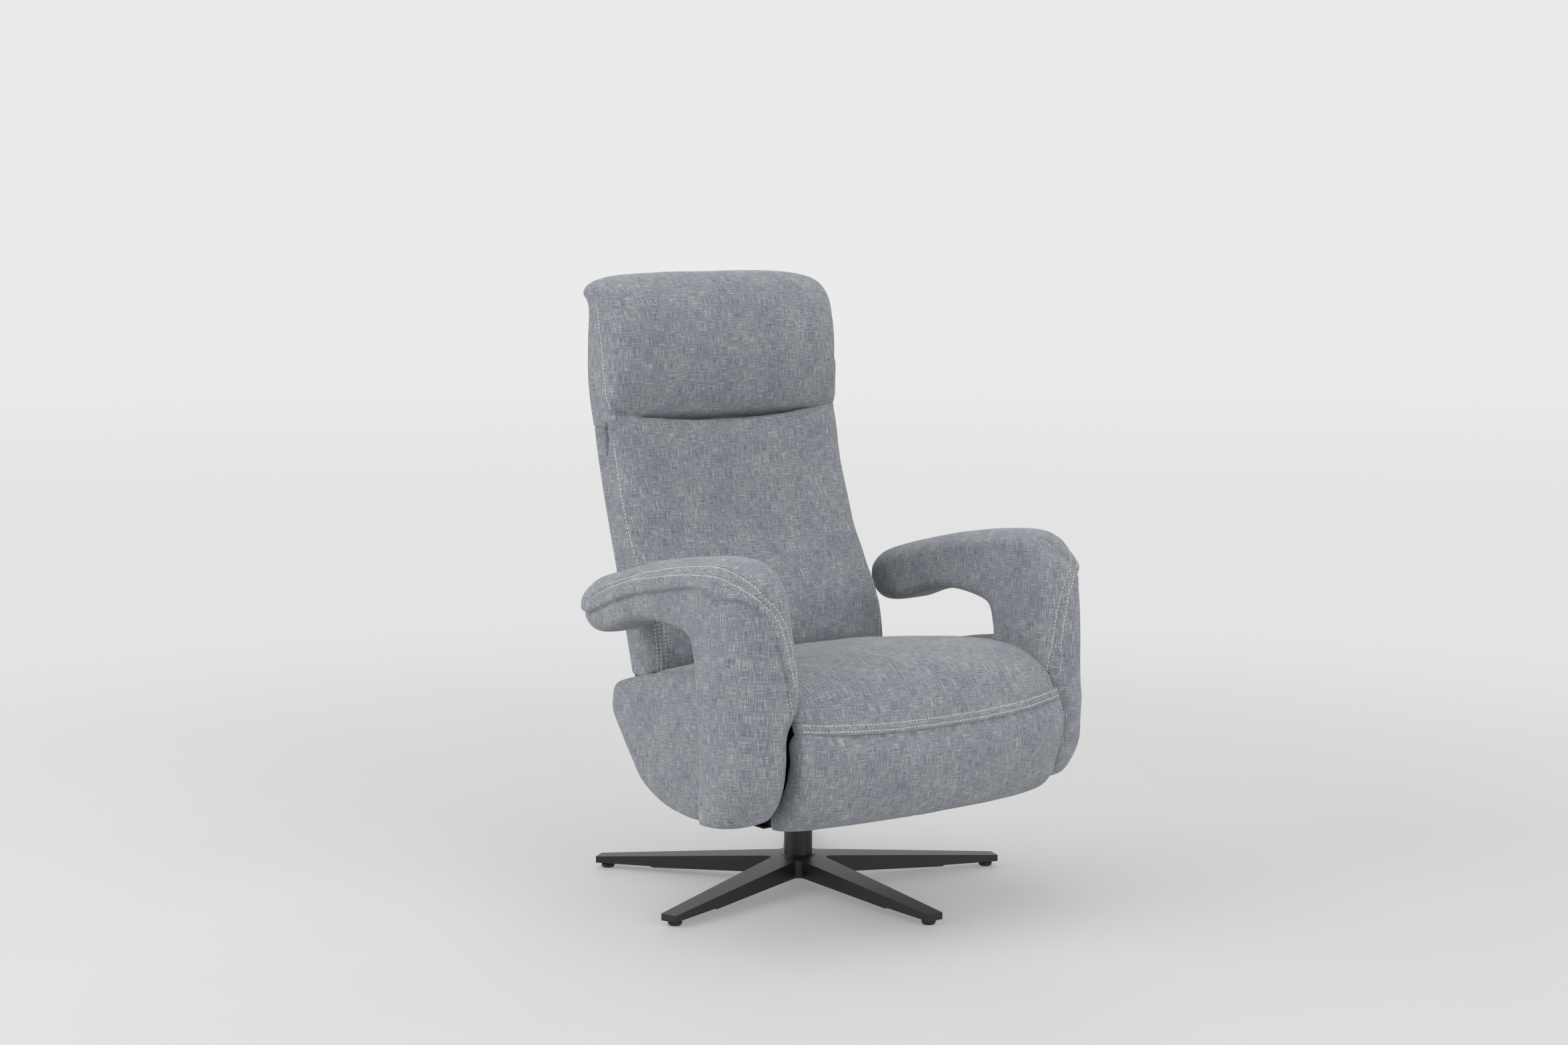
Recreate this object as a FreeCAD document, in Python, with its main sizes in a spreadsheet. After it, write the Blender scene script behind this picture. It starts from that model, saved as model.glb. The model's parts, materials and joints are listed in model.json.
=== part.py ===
import FreeCAD, Part
import math
import os
import re

import Sketcher
from FreeCAD import Placement, Rotation, Vector

# Star base swivel recliner, in millimetres: +Z up, the sitter faces -Y, the swivel axis stands at
# y = swivel_y, and every outline below is measured from that axis. Left is -X.
SIZES = [
    ("swivel_y", 40, "swivel axis behind the middle of the chair's footprint"),
    ("legs", 5, "legs of the star"),
    ("leg_reach", 378, "swivel axis to a leg's end"),
    ("glide_reach", 360, "swivel axis to a glide's middle"),
    ("leg_tip_width", 30, "width of a leg at its end"),
    ("leg_root_width", 52, "width of a leg at the hub"),
    ("leg_root_reach", 46, "where the legs part"),
    ("hub_top", 50, "height of the star's top face at the hub"),
    ("tip_top", 21, "height of the star's top face at a leg's end"),
    ("tip_floor", 9, "underside of a leg's end"),
    ("rib_floor", 15, "underside of the deep part of a leg"),
    ("step_reach", 268, "where the deep part of a leg steps up to its end"),
    ("wall", 5, "wall of the cast legs"),
    ("glide_radius", 12, "floor glide"),
    ("column_radius", 25, "steel column"),
    ("column_bore", 19, "bore of the column"),
    ("column_foot", 27, "lower end of the column in the hub"),
    ("column_top", 196, "upper end of the column"),
    ("spindle_radius", 15, "swivel spindle"),
    ("running_gap", 0.05, "radial clearance of a turning fit"),
    ("plate_floor", 206, "underside of the swivel plate"),
    ("plate_thickness", 6, "swivel plate"),
    ("bar_size", 25, "square steel tube"),
    ("bar_wall", 2, "wall of the square tube"),
    ("front_bar_y", -125, "middle of the front crossbar"),
    ("rear_bar_y", -2, "middle of the rear crossbar"),
    ("side_plate_x", 240, "inner face of the mechanism's side plates"),
    ("side_plate_thickness", 6, "side plates"),
    ("recline_y", 68, "back hinge"),
    ("recline_z", 345, "back hinge"),
    ("pin_radius", 8, "back hinge pins"),
    ("back_lean", 15, "lean of the back frame at rest, degrees"),
    ("back_foot_y", 145, "front face of the back frame at its foot"),
    ("back_foot_z", 380, "foot of the back frame"),
    ("lever_y", -18.5, "gas spring pin from the back hinge"),
    ("lever_z", -41, "gas spring pin from the back hinge"),
    ("gas_y", -160, "gas spring's seat pivot"),
    ("gas_z", 262, "gas spring's seat pivot"),
    ("open_pivot_gap", 3.2, "radial play of the gas spring's rod end on its pin"),
    ("legrest_y", -372, "legrest hinge"),
    ("legrest_z", 395, "legrest hinge"),
    ("nose_radius", 46.5, "seat nose about the legrest hinge"),
    ("nose_gap", 1.5, "between the seat nose and the legrest's upper end"),
    ("head_y", 252, "headrest hinge"),
    ("head_z", 820, "headrest hinge"),
    ("head_radius", 44, "lower end of the headrest about its hinge"),
    ("seat_half", 280, "half the width of the seat between the arms"),
    ("arm_inner", 283, "inner face of an arm"),
    ("arm_thickness", 86, "thickness of an arm"),
    ("back_half", 252, "half the width of the back"),
    ("frame_floor", 345, "underside of the wooden seat frame"),
    ("frame_top", 372, "top of the wooden seat frame"),
]

doc = FreeCAD.newDocument("Recliner")
sheet = doc.addObject("Spreadsheet::Sheet", "Sizes")
for row, (alias, number, note) in enumerate(SIZES, 1):
    sheet.set(f"A{row}", alias)
    sheet.set(f"B{row}", str(number))
    sheet.set(f"C{row}", note)
    sheet.setAlias(f"B{row}", alias)
doc.recompute()

ALIASES = {alias for alias, _, _ in SIZES}
pieces = []


def bind(text):
    """An expression whose words are the sheet's aliases."""
    return re.sub(r"[a-z_]+", lambda word: f"Sizes.{word[0]}" if word[0] in ALIASES else word[0], str(text))


def size(text):
    """The value of an expression in the sheet's aliases."""
    return float(sheet.evalExpression(bind(text)))


def set_sizes(thing, **expressions):
    for name, text in expressions.items():
        thing.setExpression(name, bind(text))


def place(thing, x=0, y=0, z=0):
    """Put a thing at x, y, z from the foot of the swivel axis."""
    thing.setExpression("Placement.Base.x", bind(x))
    thing.setExpression("Placement.Base.y", bind(f"swivel_y + ({y})"))
    thing.setExpression("Placement.Base.z", bind(z))


def keep(thing, label):
    """Name a finished sub-part and list it for the export."""
    thing.Label = label
    pieces.append(thing)
    return thing


def box(x, y, z, length, width, height):
    thing = doc.addObject("Part::Box", "block")
    set_sizes(thing, Length=length, Width=width, Height=height)
    place(thing, x, y, z)
    return thing


def rod(radius, length, x, y, z, along="z"):
    """A cylinder that starts at x, y, z and runs along +X, +Y or +Z."""
    thing = doc.addObject("Part::Cylinder", "rod")
    set_sizes(thing, Radius=radius, Height=length)
    turns = {"x": Rotation(Vector(0, 1, 0), 90), "y": Rotation(Vector(1, 0, 0), -90), "z": Rotation()}
    thing.Placement = Placement(Vector(), turns[along])
    place(thing, x, y, z)
    return thing


def tube(outer, inner, length, x, y, z, along="z"):
    return cut(rod(outer, length, x, y, z, along), rod(inner, length, x, y, z, along))


def cut(base, *tools):
    for tool in tools:
        result = doc.addObject("Part::Cut", "trimmed")
        result.Base = base
        result.Tool = tool
        base = result
    return base


def fuse(*shapes):
    result = doc.addObject("Part::MultiFuse", "joined")
    result.Shapes = list(shapes)
    result.Refine = True
    return result


def group(*shapes):
    """Separate solids that share one node."""
    result = doc.addObject("Part::Compound", "group")
    result.Links = list(shapes)
    return result


def new_body(label, x=0):
    body = doc.addObject("PartDesign::Body", label)
    place(body, x)
    return body


def new_sketch(body, role, offset=0):
    sketch = body.newObject("Sketcher::SketchObject", body.Name + "_profile")
    plane = next(item for item in body.Origin.OriginFeatures if item.Role == role)
    sketch.AttachmentSupport = [(plane, "")]
    sketch.MapMode = "FlatFace"
    if offset:
        sketch.setExpression("AttachmentOffset.Base.z", bind(offset))
    return sketch


def hold_point(sketch, edge, end, across, up):
    """Tie one point of a sketch to its origin by two sizes from the sheet."""
    for kind, text in (("DistanceX", across), ("DistanceY", up)):
        index = sketch.addConstraint(Sketcher.Constraint(kind, -1, 1, edge, end, size(text)))
        sketch.setExpression(f"Constraints[{index}]", bind(text))


def draw_polygon(sketch, corners):
    """A closed outline whose corners are pairs of expressions."""
    first = sketch.GeometryCount
    spots = [Vector(size(across), size(up), 0) for across, up in corners]
    for here, there in zip(spots, spots[1:] + spots[:1]):
        sketch.addGeometry(Part.LineSegment(here, there))
    count = len(corners)
    for step, (across, up) in enumerate(corners):
        after = first + (step + 1) % count
        sketch.addConstraint(Sketcher.Constraint("Coincident", first + step, 2, after, 1))
        hold_point(sketch, first + step, 1, across, up)


def draw_circle(sketch, across, up, radius):
    centre = Vector(size(across), size(up), 0)
    edge = sketch.addGeometry(Part.Circle(centre, Vector(0, 0, 1), size(radius)))
    hold_point(sketch, edge, 3, across, up)
    index = sketch.addConstraint(Sketcher.Constraint("Radius", edge, size(radius)))
    sketch.setExpression(f"Constraints[{index}]", bind(radius))


def pad(body, sketch, length):
    feature = body.newObject("PartDesign::Pad", body.Name + "_pad")
    feature.Profile = sketch
    set_sizes(feature, Length=length)
    return feature


def round_edges(body, radius, wanted):
    """Fillet the body's edges that the test picks."""
    doc.recompute()
    base = body.Tip
    names = [f"Edge{n}" for n, edge in enumerate(base.Shape.Edges, 1) if wanted(edge)]
    feature = body.newObject("PartDesign::Fillet", body.Name + "_round")
    feature.Base = (base, names)
    set_sizes(feature, Radius=radius)
    return feature


def runs_along(axis):
    """A test for straight edges along one axis."""

    def test(edge):
        if edge.Curve.TypeId != "Part::GeomLine":
            return False
        return abs(abs(edge.Curve.Direction.dot(axis)) - 1) < 1e-6

    return test


def plate(label, x, thickness, corners, holes=(), corner_radius=None):
    """A flat plate across X, drawn from the side, with round holes and rounded corners."""
    body = new_body(label, x)
    sketch = new_sketch(body, "YZ_Plane")
    draw_polygon(sketch, corners)
    pad(body, sketch, thickness)
    if corner_radius:
        round_edges(body, corner_radius, runs_along(Vector(1, 0, 0)))
    if holes:
        drill = new_sketch(body, "YZ_Plane")
        for across, up, radius in holes:
            draw_circle(drill, across, up, radius)
        pocket = body.newObject("PartDesign::Pocket", label + "_holes")
        pocket.Profile = drill
        pocket.Type = "ThroughAll"
        pocket.Midplane = True
    return keep(body, label)


def both_sides(make, label, inner, thickness, *rest):
    """The same plate on the right and, at the same distance, on the left."""
    make(label + "_right", inner, thickness, *rest)
    make(label + "_left", f"-({inner}) - ({thickness})", thickness, *rest)


def solid_piece(label, shape):
    """A form that the sheet's sizes give through curves, lofts and rounded outlines."""
    thing = doc.addObject("Part::Feature", label)
    thing.Shape = shape
    place(thing)
    return keep(thing, label)


def rounded_outline(corners):
    """A closed wire in the YZ plane from corners (y, z, radius), each rounded by a tangent arc."""
    spots = [Vector(0, y, z) for y, z, _ in corners]
    ends = []
    for index, (_, _, radius) in enumerate(corners):
        here = spots[index]
        before = (spots[index - 1] - here).normalize()
        after = (spots[(index + 1) % len(spots)] - here).normalize()
        half_angle = before.getAngle(after) / 2
        reach = radius / math.tan(half_angle)
        middle = (before + after).normalize() * (radius / math.sin(half_angle) - radius)
        ends.append((here + before * reach, here + middle, here + after * reach))
    edges = []
    for index, (start, middle, end) in enumerate(ends):
        edges.append(Part.Arc(start, middle, end).toShape())
        edges.append(Part.LineSegment(end, ends[(index + 1) % len(ends)][0]).toShape())
    return Part.Wire(Part.__sortEdges__(edges))


def padded_slab(corners, inner, thickness, inner_round, outer_round):
    """An upholstered slab: a rounded outline with thickness along X and soft long edges."""
    face = Part.Face(rounded_outline(corners))
    face.translate(Vector(inner, 0, 0))
    slab = face.extrude(Vector(thickness, 0, 0))
    for x, radius in ((inner, inner_round), (inner + thickness, outer_round)):
        rim = [edge for edge in slab.Edges if abs(edge.CenterOfMass.x - x) < 1e-6]
        slab = slab.makeFillet(radius, rim)
    return slab


def mirrored(shape):
    return shape.mirror(Vector(), Vector(1, 0, 0))


def curve_wire(runs):
    """A closed wire of points: a run of two is a line, and one of three is an arc through the middle."""
    edges = []
    for run in runs:
        spots = [Vector(*spot) for spot in run]
        edges.append((Part.Arc(*spots) if len(spots) == 3 else Part.LineSegment(*spots)).toShape())
    return Part.Wire(edges)


def star_base():
    """Cast star: five tapering legs, flat on top, hollow and ribbed below, deep up to a step near the end."""
    body = new_body("star_base")
    plan = new_sketch(body, "XY_Plane")
    legs = int(size("legs"))
    tip = size("leg_tip_width") / 2
    root = size("leg_root_width") / 2
    reach = size("leg_reach")
    parting = size("leg_root_reach")
    corners = []
    for leg in range(legs):
        turn = Rotation(Vector(0, 0, 1), 270 + leg * 360 / legs)
        for along, across in ((parting, -root), (reach, -tip), (reach, tip), (parting, root)):
            corners.append(turn.multVec(Vector(along, across, 0)))
    for here, there in zip(corners, corners[1:] + corners[:1]):
        plan.addGeometry(Part.LineSegment(here, there))
    for edge in range(len(corners)):
        plan.addConstraint(Sketcher.Constraint("Coincident", edge, 2, (edge + 1) % len(corners), 1))
        plan.addConstraint(Sketcher.Constraint("Block", edge))
    pad(body, plan, "hub_top")
    crotches = [
        (corners[4 * leg + 3] + corners[(4 * leg + 4) % len(corners)]) / 2 for leg in range(legs)
    ]
    upright = runs_along(Vector(0, 0, 1))
    near_hub = parting + root
    round_edges(body, "leg_tip_width / 3", lambda e: upright(e) and e.CenterOfMass.Length < near_hub)
    trim_legs(body, "top", [("0", "hub_top + 9"), ("leg_reach + 9", "hub_top + 9"),
                            ("leg_reach + 9", "tip_top - 1"), ("column_radius + 11", "hub_top")])
    trim_legs(body, "foot", [("0", "-1"), ("leg_reach + 9", "-1"), ("leg_reach + 9", "tip_floor"),
                             ("step_reach + 6", "tip_floor + 2"), ("step_reach", "rib_floor - 6"),
                             ("column_radius + 5", "rib_floor + 4"), ("column_radius", "rib_floor + 3"),
                             ("0", "rib_floor + 3")])
    hollow_legs(body)
    boss = new_sketch(body, "XZ_Plane")
    draw_polygon(boss, [("0", "rib_floor + 3"), ("column_radius - 3", "rib_floor + 3"),
                        ("column_radius - 1", "rib_floor + 6"), ("column_radius + 9", "rib_floor + 9"),
                        ("column_radius + 9", "hub_top - 1"), ("column_radius + 5", "hub_top + 2"),
                        ("0", "hub_top + 2")])
    turned = body.newObject("PartDesign::Revolution", "hub")
    turned.Profile = boss
    turned.ReferenceAxis = (boss, ["V_Axis"])
    turned.Angle = 360
    bore = new_sketch(body, "XZ_Plane")
    draw_polygon(bore, [("0", "0"), ("9", "0"), ("9", "rib_floor + 8"), ("6", "rib_floor + 8"),
                        ("6", "column_foot"), ("column_radius", "column_foot"),
                        ("column_radius", "hub_top + 9"), ("0", "hub_top + 9")])
    groove = body.newObject("PartDesign::Groove", "column_seat")
    groove.Profile = bore
    groove.ReferenceAxis = (bore, ["V_Axis"])
    groove.Angle = 360
    return keep(body, "star_base")


def trim_legs(body, name, corners):
    """Turn away what lies above or below the legs' profile."""
    profile = new_sketch(body, "XZ_Plane")
    draw_polygon(profile, corners)
    groove = body.newObject("PartDesign::Groove", "leg_" + name)
    groove.Profile = profile
    groove.ReferenceAxis = (profile, ["V_Axis"])
    groove.Angle = 360


def hollow_legs(body):
    """Pockets under each leg, with a cross rib left between them."""
    sketch = new_sketch(body, "XY_Plane")
    slope = "(leg_root_width - leg_tip_width) / 2 / (leg_reach - leg_root_reach)"
    for start, end in ((64, 150), (156, 258)):
        widths = [f"(leg_root_width / 2 - wall - ({at} - leg_root_reach) * {slope})" for at in (start, end)]
        draw_polygon(sketch, [(f"-{widths[0]}", -start), (f"-{widths[1]}", -end), (widths[1], -end),
                              (widths[0], -start)])
    pocket = body.newObject("PartDesign::Pocket", "leg_hollow")
    pocket.Profile = sketch
    pocket.Reversed = True
    set_sizes(pocket, Length="tip_top + 1")
    doc.recompute()
    pattern = body.newObject("PartDesign::PolarPattern", "leg_hollows")
    pattern.Originals = [pocket]
    axis = next(item for item in body.Origin.OriginFeatures if item.Role == "Z_Axis")
    pattern.Axis = (axis, [""])
    pattern.Angle = 360
    set_sizes(pattern, Occurrences="legs")
    body.Tip = pattern


def floor_glides():
    """Five turned glides, each a puck with a stem end against the leg."""
    body = new_body("floor_glides")
    body.AllowCompound = True
    sketch = new_sketch(body, "XZ_Plane")
    draw_polygon(sketch, [("glide_reach", "0"), ("glide_reach + glide_radius - 2", "0"),
                          ("glide_reach + glide_radius", "3"), ("glide_reach + glide_radius", "6"),
                          ("glide_reach + glide_radius - 2", "tip_floor"), ("glide_reach", "tip_floor")])
    turned = body.newObject("PartDesign::Revolution", "glide")
    turned.Profile = sketch
    turned.ReferenceAxis = (sketch, ["Edge6"])
    turned.Angle = 360
    doc.recompute()
    pattern = body.newObject("PartDesign::PolarPattern", "glides")
    pattern.Originals = [turned]
    axis = next(item for item in body.Origin.OriginFeatures if item.Role == "Z_Axis")
    pattern.Axis = (axis, [""])
    pattern.Angle = 360
    set_sizes(pattern, Occurrences="legs")
    body.Tip = pattern
    body.Placement.Rotation = Rotation(Vector(0, 0, 1), -90)
    return keep(body, "floor_glides")


def column():
    """Fixed column with its two bushes, the thrust washer, and the bolt that holds it in the hub."""
    keep(tube("column_radius", "column_bore", "column_top - column_foot", 0, 0, "column_foot"), "column_tube")
    bore = "spindle_radius + running_gap"
    lower = tube("column_bore", bore, 30, 0, 0, 42)
    upper = tube("column_bore", bore, 36, 0, 0, "column_top - 36")
    keep(group(lower, upper), "column_bushes")
    keep(tube("column_radius - 1", "spindle_radius + 0.5", 3, 0, 0, "column_top"), "thrust_washer")
    shank = rod(5.9, "column_foot - rib_floor - 2", 0, 0, "rib_floor + 8")
    head = rod(8.5, 7, 0, 0, "rib_floor + 1")
    end_disc = rod("column_bore - 0.5", 3, 0, 0, "column_foot + 4")
    keep(fuse(shank, head, end_disc), "hub_bolt")


def spindle():
    """Swivel spindle with its flange, snap ring and plate."""
    shaft = rod("spindle_radius", "plate_floor - 36", 0, 0, 36)
    flange = rod("column_radius + 5", "plate_floor - column_top - 3.3", 0, 0, "column_top + 3.3")
    keep(fuse(shaft, flange), "swivel_spindle")
    keep(tube("column_bore - 1", "spindle_radius", 2, 0, 0, 38), "snap_ring")
    body = new_body("swivel_plate")
    sketch = new_sketch(body, "XY_Plane", "plate_floor")
    draw_polygon(sketch, [("-130", "front_bar_y - 17"), ("130", "front_bar_y - 17"),
                          ("130", "rear_bar_y + 17"), ("-130", "rear_bar_y + 17")])
    pad(body, sketch, "plate_thickness")
    round_edges(body, 14, runs_along(Vector(0, 0, 1)))
    keep(body, "swivel_plate")
    bolts = []
    for x in (-105, 105):
        for bar in ("front_bar_y", "rear_bar_y"):
            bolts.append(rod(8, 5, x, bar, "plate_floor - 5"))
    keep(group(*bolts), "plate_bolts")


def crossbars():
    """Square tubes on the plate that carry the side plates."""
    for label, bar in (("front_crossbar", "front_bar_y"), ("rear_crossbar", "rear_bar_y")):
        floor = "plate_floor + plate_thickness"
        outer = box("-side_plate_x", f"{bar} - bar_size / 2", floor, "2 * side_plate_x", "bar_size", "bar_size")
        hollow = box("-side_plate_x", f"{bar} - bar_size / 2 + bar_wall", f"{floor} + bar_wall",
                     "2 * side_plate_x", "bar_size - 2 * bar_wall", "bar_size - 2 * bar_wall")
        keep(cut(outer, hollow), label)


def side_plates():
    """Side plates of the mechanism, from the wooden seat frame down to the crossbars and back to the hinge."""
    corners = [("-330", "frame_floor"), ("-330", "300"), ("-205", "212"), ("8", "212"),
               ("recline_y + 17", "recline_z - 22"), ("recline_y + 17", "recline_z + 15"),
               ("recline_y - 14", "recline_z + 15"), ("recline_y - 17", "frame_floor")]
    holes = [("-250", "294", "24"), ("-170", "294", "30"), ("-75", "294", "34"),
             ("recline_y", "recline_z", "pin_radius")]
    both_sides(plate, "side_plate", "side_plate_x", "side_plate_thickness", corners, holes, 7)


def hinge_pins():
    """Shouldered pins of the back hinge, fixed in the side plates."""
    for label, start, head in (("hinge_pin_right", "side_plate_x - 12", "side_plate_x + side_plate_thickness"),
                               ("hinge_pin_left", "-side_plate_x - side_plate_thickness",
                                "-side_plate_x - side_plate_thickness - 5")):
        shank = rod("pin_radius", "side_plate_thickness + 12", start, "recline_y", "recline_z", "x")
        disc = rod("pin_radius + 5", 5, head, "recline_y", "recline_z", "x")
        keep(fuse(shank, disc), label)


def seat_frame():
    """Wooden seat frame and the elastic webbing across it."""
    height = "frame_top - frame_floor"
    for label, x, y, length, width in (
        ("seat_rail_front", -260, -318, 520, 38), ("seat_rail_rear", -260, 4, 520, 38),
        ("seat_rail_left", -260, -280, 38, 284), ("seat_rail_right", 222, -280, 38, 284),
    ):
        keep(box(x, y, "frame_floor", length, width, height), label)
    straps = [box(x - 22, -314, "frame_top", 44, 352, 2) for x in (-190, -136, -69, -24, 24, 69, 136, 190)]
    keep(group(*straps), "seat_webbing")


def seat_section(x, tuck, crown, forward):
    """One section of the seat cushion: flat below, crowned on top, its nose round the legrest hinge."""
    turn = math.radians(10 + forward)
    hinge = (size("legrest_y"), size("legrest_z"))
    radius = size("nose_radius")
    tip = (hinge[0] - radius * math.sin(turn), hinge[1] - radius * math.cos(turn))
    low = (hinge[0], hinge[1] - radius)
    heel = (hinge[0] + radius * math.sin(0.35), hinge[1] - radius * math.cos(0.35))
    floor = size("frame_top") + 2.5
    runs = [
        [(x, 58 - tuck, floor), (x, 60 - tuck, 398 + crown / 3 - tuck)],
        [(x, 60 - tuck, 398 + crown / 3 - tuck), (x, -100, 421 + crown - tuck),
         (x, -262, 428 + crown - tuck)],
        [(x, -262, 428 + crown - tuck), (x, -348 - 1.25 * forward + tuck, 402 + crown - tuck),
         (x, *tip)],
        [(x, *tip), (x, (tip[0] + low[0]) / 2, hinge[1] - math.sqrt(radius**2 - ((tip[0] - low[0]) / 2) ** 2)),
         (x, *low)],
        [(x, *low), (x, *heel)],
        [(x, *heel), (x, -347, floor)],
        [(x, -347, floor), (x, 58 - tuck, floor)],
    ]
    return curve_wire(runs)


def seat_cushion():
    """Seat cushion: a crowned pad with drawn-in ends, slotted under the nose for the legrest hinges."""
    half = size("seat_half")
    stations = [(-1, 7, 0, 0), (-0.6, 0, 12, 19), (0, 0, 20, 30), (0.6, 0, 12, 19), (1, 7, 0, 0)]
    sections = [seat_section(at * half, tuck, crown, forward) for at, tuck, crown, forward in stations]
    cushion = Part.makeLoft(sections, True, False)
    for x in (-112, 90):
        slot = Part.makeBox(22, 156, 72, Vector(x, size("legrest_y") - 70, 340))
        cushion = cushion.cut(slot)
    return solid_piece("seat_cushion", cushion)


def underbody_cover():
    """Black cloth tray stapled under the seat, with a hole for the column."""
    thickness = 2.5
    edge = [(-275, 185), (2, 185), (34, 214), (72, 288)]
    outside = [Vector(0, y, z) for y, z in edge]
    inside = [Vector(0, y, z + thickness * 1.15) for y, z in reversed(edge)]
    face = Part.Face(Part.makePolygon(outside + inside + outside[:1]))
    face.translate(Vector(-size("seat_half"), 0, 0))
    tray = face.extrude(Vector(2 * size("seat_half"), 0, 0))
    hole = Part.makeCylinder(34, 120, Vector(0, 0, 150))
    return solid_piece("underbody_cover", tray.cut(hole))


def side_panels():
    """Boat-shaped upholstered boards behind the arm posts."""
    corners = [(108, 372, 9), (30, 228, 50), (-55, 183, 60), (-196, 181, 6), (-209, 320, 300),
               (-198, 438, 6), (-20, 412, 200)]
    slab = padded_slab(corners, 286, 48, 11, 13)
    solid_piece("side_panel_right", slab)
    solid_piece("side_panel_left", mirrored(slab))


def arms():
    """Hook-shaped arms: a post that rises from beside the legrest and bends back over the gap."""
    corners = [(170, 552, 26), (-70, 607, 300), (-250, 634, 120), (-352, 618, 98), (-362, 400, 400),
               (-352, 262, 90), (-285, 203, 60), (-214, 178, 18), (-213, 320, 300), (-197, 507, 44),
               (-50, 514, 150), (92, 460, 36), (155, 474, 26)]
    slab = padded_slab(corners, size("arm_inner"), size("arm_thickness"), 24, 38)
    solid_piece("arm_right", slab)
    solid_piece("arm_left", mirrored(slab))


def arm_bolts():
    """Spacer bolts from the side plates to each arm and side panel."""
    start = "side_plate_x + side_plate_thickness"
    for label, side in (("right", 1), ("left", -1)):
        for name, spots, end in (("arm_bolts", ((-318, 318), (-240, 262)), 283),
                                 ("panel_bolts", ((-130, 330), (0, 262)), 286)):
            length = f"{end} - ({start})"
            first = start if side > 0 else f"-({start}) - ({length})"
            keep(group(*[rod(9, length, first, y, z, "x") for y, z in spots]), f"{name}_{label}")


def gas_spring():
    """Gas spring between the front crossbar and the lever of the back hinge's tube."""
    distance = "sqrt((recline_y + lever_y - gas_y) ^ 2 + (recline_z + lever_z - gas_z) ^ 2)"
    lift = math.degrees(math.atan2(size("recline_z + lever_z - gas_z"), size("recline_y + lever_y - gas_y")))
    aim = Placement(Vector(0, size("swivel_y + gas_y"), size("gas_z")), Rotation(Vector(1, 0, 0), lift - 90))
    eye = turned_rod(10, 16, aim, -8, 0)
    barrel = turned_rod(11, 100, aim, 0, 9, "up")
    hollow = turned_rod(5.06, 80, aim, 0, 35, "up")
    pin_hole = turned_rod(5.05, 16, aim, -8, 0)
    keep(cut(fuse(eye, barrel), hollow, pin_hole), "gas_cylinder")
    reach = size(distance)
    stem = turned_rod(5, reach - 74, aim, 0, 64, "up")
    end = turned_rod(14, 12, aim, -6, reach)
    gap = turned_rod(5 + size("open_pivot_gap"), 12, aim, -6, reach)
    keep(cut(fuse(stem, end), gap), "gas_rod")
    corners = [("front_bar_y - bar_size / 2", "212.1"), ("front_bar_y - bar_size / 2", "236"), ("gas_y + 8", "gas_z + 9"),
               ("gas_y - 10", "gas_z + 9"), ("gas_y - 10", "gas_z - 10"), ("front_bar_y - 20", "212.1")]
    cheeks = []
    for x in (-15, 11):
        body = new_body("cheek", x)
        sketch = new_sketch(body, "YZ_Plane")
        draw_polygon(sketch, corners)
        pad(body, sketch, 4)
        cheeks.append(body)
    foot = box(-15, "front_bar_y - bar_size / 2 - 3", "212.1", 30, 3, 24)
    pin = rod(5, 38, -19, "gas_y", "gas_z", "x")
    keep(fuse(cheeks[0], cheeks[1], foot, pin), "gas_bracket")


def turned_rod(radius, length, aim, x, out, way="across"):
    """A cylinder in the gas spring's own frame, where Z runs from its seat pivot to its rod end."""
    thing = doc.addObject("Part::Cylinder", "turned")
    thing.Radius = radius
    thing.Height = length
    own = Rotation(Vector(0, 1, 0), 90) if way == "across" else Rotation()
    thing.Placement = aim.multiply(Placement(Vector(x, 0, out), own))
    return thing


def back_frame():
    """Leaning back frame: two uprights, two crossbars and the elastic webbing between them."""
    lean = Rotation(Vector(1, 0, 0), -size("back_lean"))
    foot = Vector(0, size("swivel_y + back_foot_y"), size("back_foot_z"))

    def leaning(x, y, z, length, width, height):
        thing = doc.addObject("Part::Box", "leaning")
        set_sizes(thing, Length=length, Width=width, Height=height)
        thing.Placement = Placement(foot + lean.multVec(Vector(x, y, z)), lean)
        return thing

    for label, x in (("back_upright_right", 211), ("back_upright_left", -231)):
        keep(leaning(x, 0, 0, 20, 20, 385), label)
    keep(leaning(-211, 0, 12, 422, 20, 20), "back_crossbar_lower")
    keep(leaning(-211, 0, 322, 422, 20, 20), "back_crossbar_upper")
    keep(group(*[leaning(-229, -2, z, 458, 2, 44) for z in (50, 106, 162, 218, 274)]), "back_webbing")


def recline_parts():
    """Hinge tube with the fork of the gas spring, and the ears that carry the uprights."""
    bore = "pin_radius + running_gap"
    shaft = tube(12, bore, "2 * side_plate_x - 18", "-side_plate_x + 9", "recline_y", "recline_z", "x")
    forks = []
    for x in (-13, 8):
        fork = new_body("fork", x)
        sketch = new_sketch(fork, "YZ_Plane")
        draw_polygon(sketch, [("recline_y - 11", "recline_z + 3"),
                              ("recline_y + lever_y - 9", "recline_z + lever_z + 4"),
                              ("recline_y + lever_y - 6", "recline_z + lever_z - 9"),
                              ("recline_y + lever_y + 8", "recline_z + lever_z - 7"),
                              ("recline_y + 11", "recline_z - 3")])
        pad(fork, sketch, 5)
        forks.append(fork)
    pin = rod(5, 26, -13, "recline_y + lever_y", "recline_z + lever_z", "x")
    clear = rod(bore, "2 * side_plate_x - 18", "-side_plate_x + 9", "recline_y", "recline_z", "x")
    keep(cut(fuse(shaft, *forks, pin), clear), "recline_shaft")


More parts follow.
